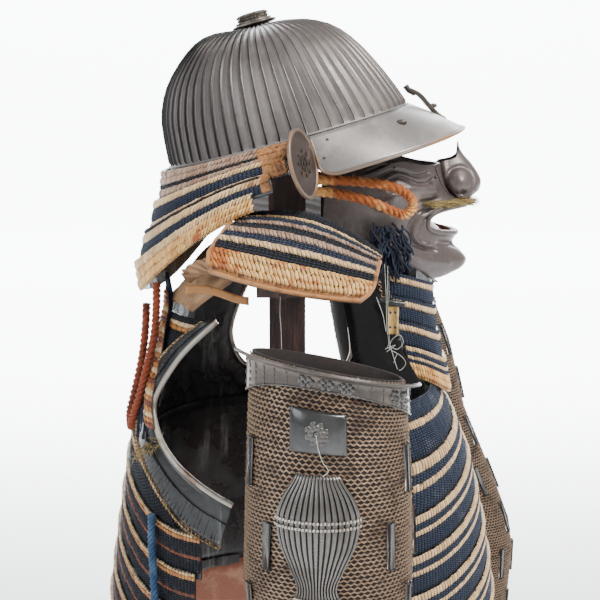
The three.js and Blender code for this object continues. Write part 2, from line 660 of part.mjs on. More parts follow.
function flapPoint(side, s, t) {
  const along = clamp(side === RIGHT ? s : 1 - s, 0, 1);
  const stop = Math.round(t * 2 * FLAP.rows);
  const onStop = Math.abs(t * 2 * FLAP.rows - stop) < 1e-6;
  const down = onStop ? Math.ceil(stop / 2) / FLAP.rows : t;
  const lip = onStop ? FLAP.step * (stop % 2) : 0;
  const edge = (key) =>
    lerp(
      lerp(FLAP_EDGES.inner.back[key], FLAP_EDGES.inner.front[key], along),
      lerp(FLAP_EDGES.outer.back[key], FLAP_EDGES.outer.front[key], along),
      down,
    );
  const middle = Math.sin(Math.PI * along);
  const crown = Math.sin(Math.PI * clamp(down, 0, 1));
  return new THREE.Vector3(
    side * (edge("x") + lip * 0.6 + 5 * middle * down),
    edge("y"),
    edge("z") + lerp(FLAP.arch, FLAP.droop, down) * middle + FLAP.dome * crown + lip * 0.8,
  );
}

for (const [name, side] of [["shoulder_flap_right", RIGHT], ["shoulder_flap_left", LEFT]]) {
  const solid = wall((s, t) => flapPoint(side, s, t), 9, 2 * FLAP.rows, FLAP.thick);
  add(name, solid, goldLacquer);
}

// ---------------------------------------------------------------- the skirt panels

const SKIRT = {
  panels: 7, gap: 1.5, top: 586, rows: 4, pitch: 46, lacing: 26, flare: 0.1, lip: 3.2, out: 1, thick: 2.6,
};

// The profile of a panel from its top down: a strip of lacing that starts inside the foot of the
// last lame, then rows with a lip each.
const skirtProfile = [
  { z: SKIRT.top + 16, lip: -4.2 }, { z: SKIRT.top + 6, lip: -4.2 }, { z: SKIRT.top - 3, lip: 0 },
];
for (let row = 0; row < SKIRT.rows; row++) {
  const top = SKIRT.top - SKIRT.lacing - row * SKIRT.pitch;
  skirtProfile.push({ z: top, lip: SKIRT.lip }, { z: top - SKIRT.pitch + 2, lip: 0 });
}

function skirtPoint(from, to, s, t) {
  const place = clamp(t, 0, 1) * (skirtProfile.length - 1);
  const k = Math.min(Math.floor(place), skirtProfile.length - 2);
  const read = (key) => lerp(skirtProfile[k][key], skirtProfile[k + 1][key], place - k);
  const angle = lerp(from, to, s);
  const out = SKIRT.out + SKIRT.flare * Math.max(0, SKIRT.top - read("z")) + read("lip");
  const point = trunk(angle, 600, out);
  point.z = read("z") - sag(angle);
  return point;
}

const lastFrom = OPENING.front + WRAP.lames * WRAP.frontStep;
const lastTo = OPENING.back - WRAP.lames * WRAP.backStep;
const panelSpan = (lastTo - lastFrom) / SKIRT.panels;
for (let panel = 0; panel < SKIRT.panels; panel++) {
  const from = lastFrom + panel * panelSpan + SKIRT.gap / 2;
  const to = from + panelSpan - SKIRT.gap;
  const solid = wall((s, t) => skirtPoint(from, to, s, t), 4, skirtProfile.length - 1, SKIRT.thick);
  add(`skirt_panel_${panel + 1}`, solid, indigoLacing);
}

// ---------------------------------------------------------------- the sleeves

const SLEEVE = { thick: 3, topTilt: 0.2, topRise: 0.11, settle: 120 };
const SLEEVE_RIGHT = [
  { z: 992, x: -238, y: -25, wide: 68, deep: 42 },
  { z: 900, x: -240, y: -26, wide: 74, deep: 46 },
  { z: 800, x: -242, y: -26, wide: 77, deep: 48 },
  { z: 700, x: -243, y: -29, wide: 73, deep: 46 },
  { z: 600, x: -242, y: -36, wide: 62, deep: 42 },
  { z: 480, x: -240, y: -44, wide: 50, deep: 37 },
  { z: 376, x: -238, y: -50, wide: 42, deep: 32 },
];
const SLEEVE_LEFT = [
  { z: 992, x: 224, y: -100, wide: 70, deep: 40 },
  { z: 900, x: 230, y: -125, wide: 76, deep: 44 },
  { z: 800, x: 238, y: -149, wide: 77, deep: 46 },
  { z: 700, x: 243, y: -196, wide: 73, deep: 45 },
  { z: 633, x: 244, y: -229, wide: 66, deep: 42 },
  { z: 588, x: 244, y: -240, wide: 62, deep: 41 },
  { z: 480, x: 243, y: -246, wide: 50, deep: 36 },
  { z: 376, x: 242, y: -242, wide: 42, deep: 32 },
];

// A point on a sleeve. Angle 270 is the outer face of the right sleeve and 90 that of the left.
function sleevePoint(sections, angle, z, out) {
  const { x, y, wide, deep } = readTable(sections, "z", z);
  const turn = degToRad(angle);
  const point = new THREE.Vector3(
    x + (deep + out) * Math.sin(turn),
    y - (wide + out) * Math.cos(turn),
    z,
  );
  const level = 1 - smoothstep(sections[0].z - z, 0, SLEEVE.settle);
  const outwards = (point.x - x) * Math.sign(x);
  point.z += level * (SLEEVE.topTilt * (point.y - y) + SLEEVE.topRise * outwards);
  return point;
}

const CAP = { spread: 80, arch: 13 };
const CAP_PLATE = [
  { down: -4, out: 12 }, { down: -1, out: 8 }, { down: 4, out: 4.4 }, { down: 19, out: 3.8 },
];
const EMBLEM = { z: 939, half: 18.5, tall: 40, out: 3.4, dome: 3, thick: 2.2 };
const PLATES_BEHIND = 8; // degrees by which the outer plates sit behind the middle of the arm
const GOURD = { top: 905, out: 3.2, thick: 2.4, columns: 6, rows: 10 };
const GOURD_SECTIONS = [
  { down: 0, half: 19, bulge: 2 },
  { down: 20, half: 30, bulge: 7 },
  { down: 38, half: 35, bulge: 10 },
  { down: 62, half: 32, bulge: 10 },
  { down: 88, half: 22, bulge: 7 },
  { down: 104, half: 17, bulge: 4 },
  { down: 122, half: 23, bulge: 6 },
  { down: 146, half: 25, bulge: 6 },
  { down: 168, half: 15, bulge: 2 },
];
const HAND_GUARD = { top: 388, length: 108, half: 62, out: 4, thick: 2.4 };

function sleeve(name, sections, outerAngle) {
  const plateAngle = outerAngle + (outerAngle > 180 ? -PLATES_BEHIND : PLATES_BEHIND);
  const tube = (s, t) => sleevePoint(sections, 360 * s, lerp(sections[0].z, sections.at(-1).z, t), 0);
  add(`sleeve_cloth_${name}`, wall(tube, 18, 8, SLEEVE.thick, true), mailCloth);

  const cap = (s, t) => {
    const place = clamp(t, 0, 1) * (CAP_PLATE.length - 1);
    const k = Math.min(Math.floor(place), CAP_PLATE.length - 2);
    const read = (key) => lerp(CAP_PLATE[k][key], CAP_PLATE[k + 1][key], place - k);
    const angle = outerAngle + lerp(-CAP.spread, CAP.spread, s);
    const arch = CAP.arch * (2 * s - 1) ** 2 * clamp(place - 2, 0, 1);
    const down = Math.max(0, read("down")) + arch;
    const point = sleevePoint(sections, angle, sections[0].z - down, read("out"));
    point.z -= Math.min(0, read("down"));
    return point;
  };
  add(`sleeve_cap_${name}`, wall(cap, 12, CAP_PLATE.length - 1, PLATE), russetIron);

  const emblem = (s, t) => {
    const angle = plateAngle + lerp(-EMBLEM.half, EMBLEM.half, s);
    const raised = Math.sin(Math.PI * clamp(s, 0, 1)) * Math.sin(Math.PI * clamp(t, 0, 1));
    const z = EMBLEM.z + lerp(EMBLEM.tall / 2, -EMBLEM.tall / 2, t);
    return sleevePoint(sections, angle, z, EMBLEM.out + EMBLEM.dome * raised);
  };
  add(`sleeve_emblem_${name}`, wall(emblem, 4, 4, EMBLEM.thick), blackLacquer);

  const gourd = (s, t) => {
    const down = lerp(0, GOURD_SECTIONS.at(-1).down, t);
    const { half, bulge } = readTable(GOURD_SECTIONS, "down", down);
    const across = lerp(-1, 1, s);
    const { wide } = readTable(sections, "z", GOURD.top - down);
    const angle = plateAngle + THREE.MathUtils.radToDeg(Math.asin((across * half) / wide));
    const raised = bulge * Math.sqrt(Math.max(0, 1 - across ** 2));
    return sleevePoint(sections, angle, GOURD.top - down, GOURD.out + raised);
  };
  add(`sleeve_gourd_${name}`, wall(gourd, GOURD.columns, GOURD.rows, GOURD.thick), russetIron);

  const hand = (s, t) => {
    const angle = outerAngle + lerp(-HAND_GUARD.half, HAND_GUARD.half, s) * (1 - 0.35 * t);
    const point = sleevePoint(sections, angle, sections.at(-1).z, HAND_GUARD.out + 4 * Math.sin(2.4 * t));
    point.z = HAND_GUARD.top - t * HAND_GUARD.length;
    return point;
  };
  add(`hand_guard_${name}`, wall(hand, 8, 4, HAND_GUARD.thick), russetIron);
}

sleeve("right", SLEEVE_RIGHT, 270);
sleeve("left", SLEEVE_LEFT, 90);

export default armour;
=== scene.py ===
"""A laced Japanese armour on its wooden post stand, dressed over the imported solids, in metres."""
import random
from math import asin, atan2, copysign, cos, degrees, exp, hypot, pi, radians, sin, sqrt

import bmesh
import bpy
from mathutils import Matrix, Vector, noise


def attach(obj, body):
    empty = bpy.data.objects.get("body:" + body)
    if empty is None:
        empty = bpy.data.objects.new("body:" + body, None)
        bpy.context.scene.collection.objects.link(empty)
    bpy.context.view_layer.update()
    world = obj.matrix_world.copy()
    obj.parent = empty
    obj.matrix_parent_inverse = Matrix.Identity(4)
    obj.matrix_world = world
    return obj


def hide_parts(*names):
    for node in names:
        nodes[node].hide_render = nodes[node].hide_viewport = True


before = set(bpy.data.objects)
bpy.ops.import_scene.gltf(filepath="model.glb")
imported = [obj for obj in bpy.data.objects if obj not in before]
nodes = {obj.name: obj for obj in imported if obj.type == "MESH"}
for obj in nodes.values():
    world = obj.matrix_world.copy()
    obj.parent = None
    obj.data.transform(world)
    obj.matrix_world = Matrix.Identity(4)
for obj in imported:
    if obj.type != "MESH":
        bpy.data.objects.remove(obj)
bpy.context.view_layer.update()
MM = 0.001

# ---------------------------------------------------------------- the camera
# It stands at the armour's right side, level with the helmet's brow, and looks slightly down on
# the shoulders and the sleeve.
def added(name, data):
    """A new object, linked to the scene."""
    made = bpy.data.objects.new(name, data)
    bpy.context.scene.collection.objects.link(made)
    return made


camera = added("camera", bpy.data.cameras.new("camera"))
camera.location = (-1.125, 0.0, 1.239)
tilt_down = radians(12)
looking = Vector((cos(tilt_down), 0, -sin(tilt_down)))
camera.rotation_euler = looking.to_track_quat("-Z", "Y").to_euler()
camera.data.lens = 61.6
camera.data.sensor_width = 36
camera.data.clip_start = 0.02
bpy.context.scene.camera = camera


# ---------------------------------------------------------------- the orange cords
# Thick twisted silk cord, laid up from three strands. The two chin cords loop over the mask's
# cheeks and go back up into the helmet; the long tie cord hangs doubled down the back.
def tint(red, green, blue):
    """A colour as a screen shows it, from 0 to 255, in the linear values that shaders take."""
    return tuple((c / 255) ** 2.2 for c in (red, green, blue)) + (1.0,)


def feed(tree, value, socket):
    """Sets a socket to a value, or links it to another node's output."""
    if isinstance(value, bpy.types.NodeSocket):
        tree.links.new(value, socket)
    elif value is not None:
        socket.default_value = value


def put(tree, kind, inputs=None, **settings):
    """A shader node with its settings, and its inputs set or linked."""
    made = tree.nodes.new("ShaderNode" + kind)
    for key, value in settings.items():
        setattr(made, key, value)
    for key, value in (inputs or {}).items():
        feed(tree, value, made.inputs[key])
    return made


def finish(name, **surface):
    """A material with its Principled shader's sockets set; gives the material and its tree."""
    made = bpy.data.materials.new(name)
    made.use_nodes = True
    shader = made.node_tree.nodes["Principled BSDF"]
    for key, value in surface.items():
        shader.inputs[key.replace("_", " ")].default_value = value
    return made, made.node_tree, shader


def effect(name, inputs, outputs):
    """A shader node group with named inputs and outputs: gives its tree and both ends' sockets."""
    group = bpy.data.node_groups.new(name, "ShaderNodeTree")
    for socket, (kind, value) in inputs.items():
        made = group.interface.new_socket(socket, in_out="INPUT", socket_type="NodeSocket" + kind)
        if value is not None:
            made.default_value = value
    for socket, kind in outputs.items():
        group.interface.new_socket(socket, in_out="OUTPUT", socket_type="NodeSocket" + kind)
    given, shown = (group.nodes.new("NodeGroup" + end) for end in ("Input", "Output"))
    return group, given.outputs, shown.inputs


def mix(tree, factor, first, second, mode="MIX"):
    """A colour mix; gives its result socket."""
    made = put(tree, "Mix", data_type="RGBA", blend_type=mode)
    for index, value in ((0, factor), (6, first), (7, second)):
        feed(tree, value, made.inputs[index])
    return made.outputs[2]


def maths(tree, operation, first, second=0.0, third=None):
    """A maths node on two or three values; gives its result socket."""
    made = put(tree, "Math", operation=operation)
    for index, value in enumerate((first, second, third)):
        feed(tree, value, made.inputs[index])
    return made.outputs[0]


def ramp(tree, value, low, high):
    """A value brought from low..high to 0..1, softly."""
    made = put(tree, "MapRange", {"Value": value, "From Min": low, "From Max": high})
    made.interpolation_type = "SMOOTHSTEP"
    return made.outputs["Result"]


# Patches of a second colour over the first, at one size, with fine grain in both.
patches, given, shown = effect(
    "patches",
    {
        "Vector": ("Vector", None), "Size": ("Float", 40.0), "Spread": ("Float", 0.5),
        "Colour": ("Color", (0.5, 0.5, 0.5, 1)), "Patch": ("Color", (0.2, 0.2, 0.2, 1)),
        "Grain": ("Float", 0.15),
    },
    {"Colour": "Color", "Mask": "Float", "Height": "Float"},
)
EDGE_SOFTNESS, FINER = 0.16, 14.0
coarse = put(patches, "TexNoise", {"Vector": given["Vector"], "Scale": given["Size"], "Detail": 5.0,
                                   "Roughness": 0.62})
fine_scale = maths(patches, "MULTIPLY", given["Size"], FINER)
fine = put(patches, "TexNoise", {"Vector": given["Vector"], "Scale": fine_scale, "Detail": 3.0})
edge = maths(patches, "SUBTRACT", 1.0, given["Spread"])
above = maths(patches, "ADD", edge, EDGE_SOFTNESS)
mask = put(patches, "MapRange",
           {"Value": coarse.outputs["Fac"], "From Min": edge, "From Max": above})
mixed = mix(patches, mask.outputs["Result"], given["Colour"], given["Patch"])
speck = maths(patches, "SUBTRACT", fine.outputs["Fac"], 0.5)
speck = maths(patches, "MULTIPLY_ADD", speck, given["Grain"], 1.0)
feed(patches, mix(patches, 1.0, mixed, speck, "MULTIPLY"), shown["Colour"])
feed(patches, mask.outputs["Result"], shown["Mask"])
feed(patches, fine.outputs["Fac"], shown["Height"])


def patched(tree, vector, size, spread, colour, patch, grain=0.3):
    """The patches effect placed in a material; gives the group node."""
    made = tree.nodes.new("ShaderNodeGroup")
    made.node_tree = patches
    values = {"Vector": vector, "Size": size, "Spread": spread, "Grain": grain, "Colour": colour,
              "Patch": patch}
    for key, value in values.items():
        feed(tree, value, made.inputs[key])
    return made


def place_of(tree):
    """Object coordinates in a material."""
    return put(tree, "TexCoord").outputs["Object"]


def bump(tree, shader, height, distance, strength=1.0):
    made = put(tree, "Bump", {"Height": height, "Distance": distance, "Strength": strength})
    feed(tree, made.outputs["Normal"], shader.inputs["Normal"])


def patchy(name, patches_of, relief=None, grain=None, **surface):
    """A finish in two colours: patches_of is the patches' size, spread, two colours and grain. It
    stands out by its own relief, or by a grain of a given scale and detail."""
    made, tree, shader = finish(name, **surface)
    size, spread, colour, patch, fineness = patches_of
    spots = patched(tree, place_of(tree), size, spread, tint(*colour), tint(*patch), fineness)
    feed(tree, spots.outputs["Colour"], shader.inputs["Base Color"])
    if grain:
        scale, detail, *relief = grain
        noisy = put(tree, "TexNoise", {"Vector": place_of(tree), "Scale": scale, "Detail": detail})
        bump(tree, shader, noisy.outputs["Fac"], *relief)
    elif relief:
        bump(tree, shader, spots.outputs["Height"], *relief)
    return made


orange_silk = patchy("orange_silk", (34.0, 0.5, (150, 80, 34), (216, 158, 92), 1.6),
                     grain=(900.0, 2.0, 0.0006), Roughness=0.85, Sheen_Weight=0.1)


def settle(piece, *finishes, slot="russet_iron", stands_for=None):
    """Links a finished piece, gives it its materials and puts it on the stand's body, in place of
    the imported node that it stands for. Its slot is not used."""
    if piece.name not in bpy.context.scene.collection.objects:
        bpy.context.scene.collection.objects.link(piece)
    for one in finishes:
        piece.data.materials.append(one)
    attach(piece, "root")
    if stands_for:
        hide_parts(stands_for)


def held(value, low=0.0, high=1.0):
    return min(max(value, low), high)


def between(a, b, c, d, u):
    """Numbers or points on a smooth run through four: b where u is 0, and c where it is 1."""
    cubic = (-a + 3 * b - 3 * c + d) * u**3 + (2 * a - 5 * b + 4 * c - d) * u**2 + (c - a) * u
    return cubic / 2 + b


def smooth_line(points, steps, closed=False):
    """Points along a smooth line through the given ones, with steps to each stretch."""
    count = len(points)
    line = []
    for k in range(count if closed else count - 1):
        near = ((k + n) % count if closed else held(k + n, 0, count - 1) for n in (-1, 0, 1, 2))
        four = [Vector(points[n]) for n in near]
        line += [between(*four, step / steps) for step in range(steps)]
    if not closed:
        line.append(Vector(points[-1]))
    return line


def run_spline(data, line):
    """A straight-run spline through the points of a line."""
    spline = data.splines.new("POLY")
    spline.points.add(len(line) - 1)
    for point, spot in zip(spline.points, line):
        point.co = (*spot, 1)
    spline.use_smooth = True
    return spline


def curve_of(name, line, closed=False, dimensions="3D"):
    """A curve of one spline through the points of a line."""
    data = bpy.data.curves.new(name, "CURVE")
    data.dimensions = dimensions
    run_spline(data, line).use_cyclic_u = closed
    return data


def around(count):
    """Equal turns round a circle."""
    return [2 * pi * k / count for k in range(count)]


POINTS_A_STRAND = 5


def rope(name, route, radius, turns, strands=3, steps=9):
    """A twisted cord as a mesh: a lobed section carried along the route and turned as it goes."""
    lobes = []
    for turn in around(strands * POINTS_A_STRAND):
        bulge = abs(sin(strands * turn / 2)) ** 0.7
        reach = radius * (0.56 + 0.46 * bulge)
        lobes.append((reach * cos(turn), reach * sin(turn), 0))
    section = added(name + "_section", curve_of(name + "_section", lobes, True, "2D"))
    line = smooth_line(route, steps)
    data = curve_of(name, line)
    for k, point in enumerate(data.splines[0].points):
        point.tilt = 2 * pi * turns * k / (len(line) - 1)
    data.bevel_mode = "OBJECT"
    data.bevel_object = section
    data.use_fill_caps = True
    data.twist_mode = "MINIMUM"
    carrier = added(name + "_line", data)
    seen = carrier.evaluated_get(bpy.context.evaluated_depsgraph_get())
    mesh = bpy.data.meshes.new_from_object(seen)
    mesh.name = name
    piece = bpy.data.objects.new(name, mesh)
    for face in mesh.polygons:
        face.use_smooth = True
    mesh.materials.clear()
    bpy.data.objects.remove(carrier)
    bpy.data.objects.remove(section)
    return piece, line


def length_of(line):
    return sum((b - a).length for a, b in zip(line, line[1:]))


def metres(points, side=1):
    return [(side * x * MM, y * MM, z * MM) for x, y, z in points]


chin_route = [
    [92, -4, 1145], [89, -22, 1142], [87, -48, 1141], [85, -72, 1139], [82, -96, 1134],
    [80, -111, 1125], [80, -115, 1114], [81, -107, 1106], [83, -94, 1110], [86, -74, 1119],
    [89, -50, 1126], [92, -28, 1130], [94, -10, 1132],
]
SIDES = (("right", -1), ("left", 1))
for name, side in SIDES:
    route = metres(chin_route, side)
    cord, line = rope(f"silk_chin_cord_{name}", route, 5.4 * MM, turns=11)
    settle(cord, orange_silk, slot="orange_cord", stands_for=f"chin_cord_{name}")

back_route = metres([
    [-84, 148, 1036], [-92, 148, 1012], [-98, 150, 985], [-103, 157, 955], [-104, 165, 925],
    [-103, 174, 898], [-94, 178, 884], [-86, 180, 898], [-86, 173, 925], [-84, 166, 955],
    [-80, 162, 985], [-72, 161, 1012],
])
rust_silk = patchy("rust_silk", (60.0, 0.5, (130, 60, 34), (92, 44, 30), 1.2),
                   grain=(900.0, 2.0, 0.0006), Roughness=0.85, Sheen_Weight=0.06)
cord, line = rope("silk_back_cord", back_route, 4.6 * MM, turns=18)
settle(cord, rust_silk, slot="orange_cord", stands_for="back_cord")

# ---------------------------------------------------------------- the stand
# A square post on a flat base, with a shoulder bar and a turned head disc, in dark stained
# cypress. The armour hangs on the bar and the helmet sits on the disc.
stained_wood, tree, shader = finish("stained_wood", Roughness=0.5)
where = place_of(tree)
along = put(tree, "Mapping", {"Vector": where, "Scale": (9.0, 9.0, 0.9)}).outputs["Vector"]
spots = patched(tree, along, 12.0, 0.5, tint(58, 42, 38), tint(92, 68, 58), 0.5)
feed(tree, spots.outputs["Colour"], shader.inputs["Base Color"])
grain = put(tree, "TexNoise", {"Vector": along, "Scale": 60.0, "Detail": 4.0})
bump(tree, shader, grain.outputs["Fac"], 0.0005)


def coat(node, material):
    """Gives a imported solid, whose shape is right, a better finish."""
    nodes[node].data.materials.clear()
    nodes[node].data.materials.append(material)


for name in ("base", "post", "shoulder_bar", "head_disc"):
    coat(f"stand_{name}", stained_wood)

# ---------------------------------------------------------------- the helmet bowl
# Sixty-two iron plates lap round the bowl, each with its hind edge turned up into a thin
# standing rib, over a smooth band at the rim. Russet-lacquered iron, tilted back on the stand.
def map_of(tree):
    """The surface map's two measures: X across and Y down."""
    chart = put(tree, "UVMap", uv_map="surface").outputs["UV"]
    return put(tree, "SeparateXYZ", {"Vector": chart}).outputs


def off_middle_of(tree, value):
    """How far a value lies from the middle of its own unit, from 0 to 0.5."""
    share = maths(tree, "FRACT", value)
    return maths(tree, "ABSOLUTE", maths(tree, "SUBTRACT", share, 0.5))


def roughened(tree, shader, mask, low, high):
    """Roughness from low to high by a mask."""
    rough = put(tree, "MapRange", {"Value": mask, "To Min": low, "To Max": high})
    feed(tree, rough.outputs["Result"], shader.inputs["Roughness"])


def iron(name, low, high, rust, metallic=0.35, roughness=(0.36, 0.56), shaded_groove=None):
    """Lacquered or bare iron in two close shades with a little rust; a groove, at a place across
    each unit of the map with its width, is painted near black as shade."""
    low, high, rust = tint(*low), tint(*high), tint(*rust)
    made, tree, shader = finish(name, Metallic=metallic)
    where = place_of(tree)
    spots = patched(tree, where, 16.0, 0.5, low, high, 0.35)
    colour = patched(tree, where, 90.0, 0.3, spots.outputs["Colour"], rust, 0.2).outputs["Colour"]
    # painted shade: a near-black line down the groove, at the given place in each unit of the map
    if shaded_groove:
        middle, width = shaded_groove
        off = off_middle_of(tree, maths(tree, "SUBTRACT", map_of(tree)["X"], middle - 0.5))
        colour = mix(tree, ramp(tree, off, width, width * 0.45), colour, tint(8, 7, 7))
    feed(tree, colour, shader.inputs["Base Color"])
    roughened(tree, shader, spots.outputs["Mask"], *roughness)
    grain = put(tree, "TexNoise", {"Vector": where, "Scale": 700.0, "Detail": 3.0})
    bump(tree, shader, grain.outputs["Fac"], 0.0003, 0.35)
    return made


russet_iron = iron("russet_iron", (124, 119, 116), (140, 134, 129), (132, 102, 80))
# the bowl's groove is painted shade: a near-black line just behind each standing rib
bowl_iron = iron("bowl_iron", (98, 91, 88), (114, 106, 102), (112, 90, 76), shaded_groove=(0.24, 0.2))

HELMET_TILT = (Matrix.Translation((0, 14.4 * MM, 1183.5 * MM))
               @ Matrix.Rotation(radians(-15.5), 4, "X"))


def mixed_by(a, b, share):
    return a + (b - a) * share


def eased(value, low, high):
    """0 below low, 1 above high, and smooth between them."""
    share = held((value - low) / (high - low))
    return share * share * (3 - 2 * share)


def oval(angle, side, front, back, height):
    """A point in millimetres round the head: 0 is the front and 90 the wearer's left."""
    turn = radians(angle)
    depth = front if cos(turn) > 0 else back
    return Vector((side * sin(turn), -depth * cos(turn), height))


def tilted(point):
    """From the helmet's own millimetres to the place where it sits on the stand."""
    return HELMET_TILT @ (point * MM)


def smooth_row(rows, place):
    """A row of numbers read smoothly at a place between the rows of a table."""
    place = held(place, 0, len(rows) - 1)
    k = min(int(place), len(rows) - 2)
    four = (rows[held(k + n, 0, len(rows) - 1)] for n in (-1, 0, 1, 2))
    return [between(*numbers, place - k) for numbers in zip(*four)]


def table_row(rows, value):
    """A table read straight between its rows, at a value in its first column."""
    if rows[0][0] > rows[-1][0]:
        rows = rows[::-1]
    value = held(value, rows[0][0], rows[-1][0])
    k = 1
    while k < len(rows) - 1 and rows[k][0] < value:
        k += 1
    share = (value - rows[k - 1][0]) / (rows[k][0] - rows[k - 1][0])
    return [mixed_by(a, b, share) for a, b in zip(rows[k - 1], rows[k])]


def piece_from(name, shape):
    """An object from a finished shape."""
    mesh = bpy.data.meshes.new(name)
    shape.to_mesh(mesh)
    shape.free()
    return bpy.data.objects.new(name, mesh)


def walled(piece, wall):
    """Gives a sheet its thickness, inwards."""
    thick = piece.modifiers.new("wall", "SOLIDIFY")
    thick.thickness, thick.offset = wall, -1


def skin(name, columns, rows, place, uv=(1.0, 1.0), seam=False, wall=0.0, face_finish=None):
    """A grid laid on the surface place(s, t), s and t from 0 to 1, with a UV map in its own
    units. A seam joins its two ends; a wall gives it thickness inwards."""
    shape = bmesh.new()
    bmesh.ops.create_grid(shape, x_segments=columns, y_segments=rows, size=0.5)
    layer = shape.loops.layers.uv.new("surface")
    for face in shape.faces:
        face.smooth = True
        for loop in face.loops:
            spot = loop.vert.co
            loop[layer].uv = ((spot.x + 0.5) * uv[0], (0.5 - spot.y) * uv[1])
        if face_finish:
            middle = face.calc_center_median()
            face.material_index = face_finish(middle.x + 0.5, 0.5 - middle.y)
    for vert in shape.verts:
        vert.co = place(vert.co.x + 0.5, 0.5 - vert.co.y)
    if seam:
        bmesh.ops.remove_doubles(shape, verts=shape.verts, dist=1e-6)
    piece = piece_from(name, shape)
    if wall:
        walled(piece, wall)
    return piece


# front, its height, back, its height, side, its height: rings from the vent down, in mm
BOWL_RINGS = [
    (12, 111, 12, 111.5, 12, 111), (26, 113.5, 26, 117, 26, 113.5), (40, 111.5, 45, 120, 42, 114),
    (58, 106.5, 64, 117, 62, 108), (78, 95, 83, 106, 80, 96), (94, 77, 103, 88, 95, 76),
    (108, 53, 115.5, 70, 104.5, 52), (121.5, 24, 124.5, 45, 110, 25),
    (130.5, 0, 129, 4, 112, 1), (131.5, -13, 130.5, -13, 112.5, -13),
]
PLATES = 62
# across one plate, from its share of the width, how far its surface stands proud, in mm
RIB = [(0.0, 1.9), (0.07, 2.6), (0.14, 2.1), (0.18, -0.9), (0.3, -0.6), (0.62, 0.1), (0.93, 0.5)]


def bowl_point(s, t, rise=0.0):
    front, front_h, back, back_h, side, side_h = smooth_row(BOWL_RINGS, t * (len(BOWL_RINGS) - 1))
    ahead = cos(2 * pi * s)
    height = mixed_by(side_h, front_h if ahead > 0 else back_h, ahead**2)
    slope = eased(t, 0.2, 0.75)
    out = rise * slope
    return oval(360 * s, side + out, front + out, back + out, height + rise * (1 - slope))


bowl_steps = [0, 0.03, 0.07, 0.12, 0.17, 0.23, 0.3, 0.36, 0.42, 0.48, 0.54, 0.6, 0.66, 0.72, 0.77,
              0.82, 0.86, 0.885, 0.9, 0.905, 0.93, 0.96, 1.0]


def ribbed(s, t):
    column = round(s * PLATES * len(RIB))
    plate, k = divmod(column, len(RIB))
    phase, rise = RIB[k]
    t = bowl_steps[round(t * (len(bowl_steps) - 1))]
    fade = eased(t, 0.02, 0.1) * (1 - eased(t, 0.892, 0.9))
    band = 1.3 * eased(t, 0.898, 0.906)
    spread = mixed_by(0.62, 1.0, eased(t, 0.0, 0.5))
    return tilted(bowl_point((plate + phase) / PLATES, t, rise * fade * spread + band))


bowl = skin("ribbed_bowl", PLATES * len(RIB), len(bowl_steps) - 1, ribbed, (PLATES, 1), seam=True,
            wall=2.0 * MM)
settle(bowl, bowl_iron, stands_for="helmet_bowl")


def wire(name, points, radius, closed=False, sides=3, steps=1):
    """A round rod, bead line or rim on a line of points, as a curve with a round section."""
    line = smooth_line(points, steps, closed) if steps > 1 else [Vector(p) for p in points]
    data = curve_of(name, line, closed)
    data.bevel_depth = radius
    data.bevel_resolution = sides
    data.use_fill_caps = True
    return bpy.data.objects.new(name, data)


rim = wire("bowl_rim_line", [tilted(bowl_point(k / 90, 0.902, 1.6)) for k in range(90)], 1.1 * MM,
           True)
settle(rim, russet_iron)

# ---------------------------------------------------------------- the crown fitting
# A stack of beaded rings round the vent in the top of the bowl: chrysanthemum-like collars,
# chased in dark metal, held by a tube that is burred over inside.
aged_metal = patchy("aged_metal", (70.0, 0.5, (84, 78, 72), (130, 120, 108), 0.5),
                    (0.0003, 0.6), Metallic=0.7, Roughness=0.42)

CROWN = Vector((0, 2, 118.6))


def merged_copies(name, shapes):
    """One mesh from many small copies: each is a function that adds itself to the shape."""
    shape = bmesh.new()
    for add in shapes:
        add(shape)
    for face in shape.faces:
        face.smooth = True
    return piece_from(name, shape)


def bead(at, radius, squash=(1, 1, 1), detail=(8, 5)):
    """Adds a small round bead or rivet head."""
    def add(shape):
        made = bmesh.ops.create_uvsphere(shape, u_segments=detail[0], v_segments=detail[1],
                                         radius=radius)
        bmesh.ops.scale(shape, vec=squash, verts=made["verts"])
        bmesh.ops.translate(shape, vec=at, verts=made["verts"])
    return add


def turned(name, profile, steps, centre, place=lambda p: p):
    """A turned piece: a profile of radius and height, spun once round an upright line."""
    shape = bmesh.new()
    verts = [shape.verts.new((r, 0, h)) for r, h in profile]
    edges = [shape.edges.new(pair) for pair in zip(verts, verts[1:])]
    bmesh.ops.spin(shape, geom=verts + edges, cent=(0, 0, 0), axis=(0, 0, 1), dvec=(0, 0, 0),
                   angle=2 * pi, steps=steps, use_merge=True)
    bmesh.ops.remove_doubles(shape, verts=shape.verts, dist=1e-5)
    bmesh.ops.recalc_face_normals(shape, faces=shape.faces)
    for face in shape.faces:
        face.smooth = True
    for vert in shape.verts:
        vert.co = place(vert.co + centre)
    return piece_from(name, shape)


crown_profile = [
    (7, -3), (11, -3), (14, 0.2), (19, 0.1), (20.8, 0.7), (20.9, 1.8), (19.6, 2.5), (17.2, 2.6),
    (17.4, 3.6), (16.4, 4.6), (14.2, 4.8), (13.4, 6.0), (14.2, 7.0), (14.6, 8.6), (14.2, 10.0),
    (12.0, 10.6), (9.4, 10.2), (7.6, 10.4), (7, 9.6), (7, -3),
]
WIDER, TALLER = 1.12, 1.25
VENT = 8
grown = [(r * WIDER if r > VENT else r, h * TALLER) for r, h in crown_profile]
crown = turned("crown_rings", grown, 48, CROWN, tilted)
settle(crown, aged_metal, stands_for="crown_fitting")
beads = []
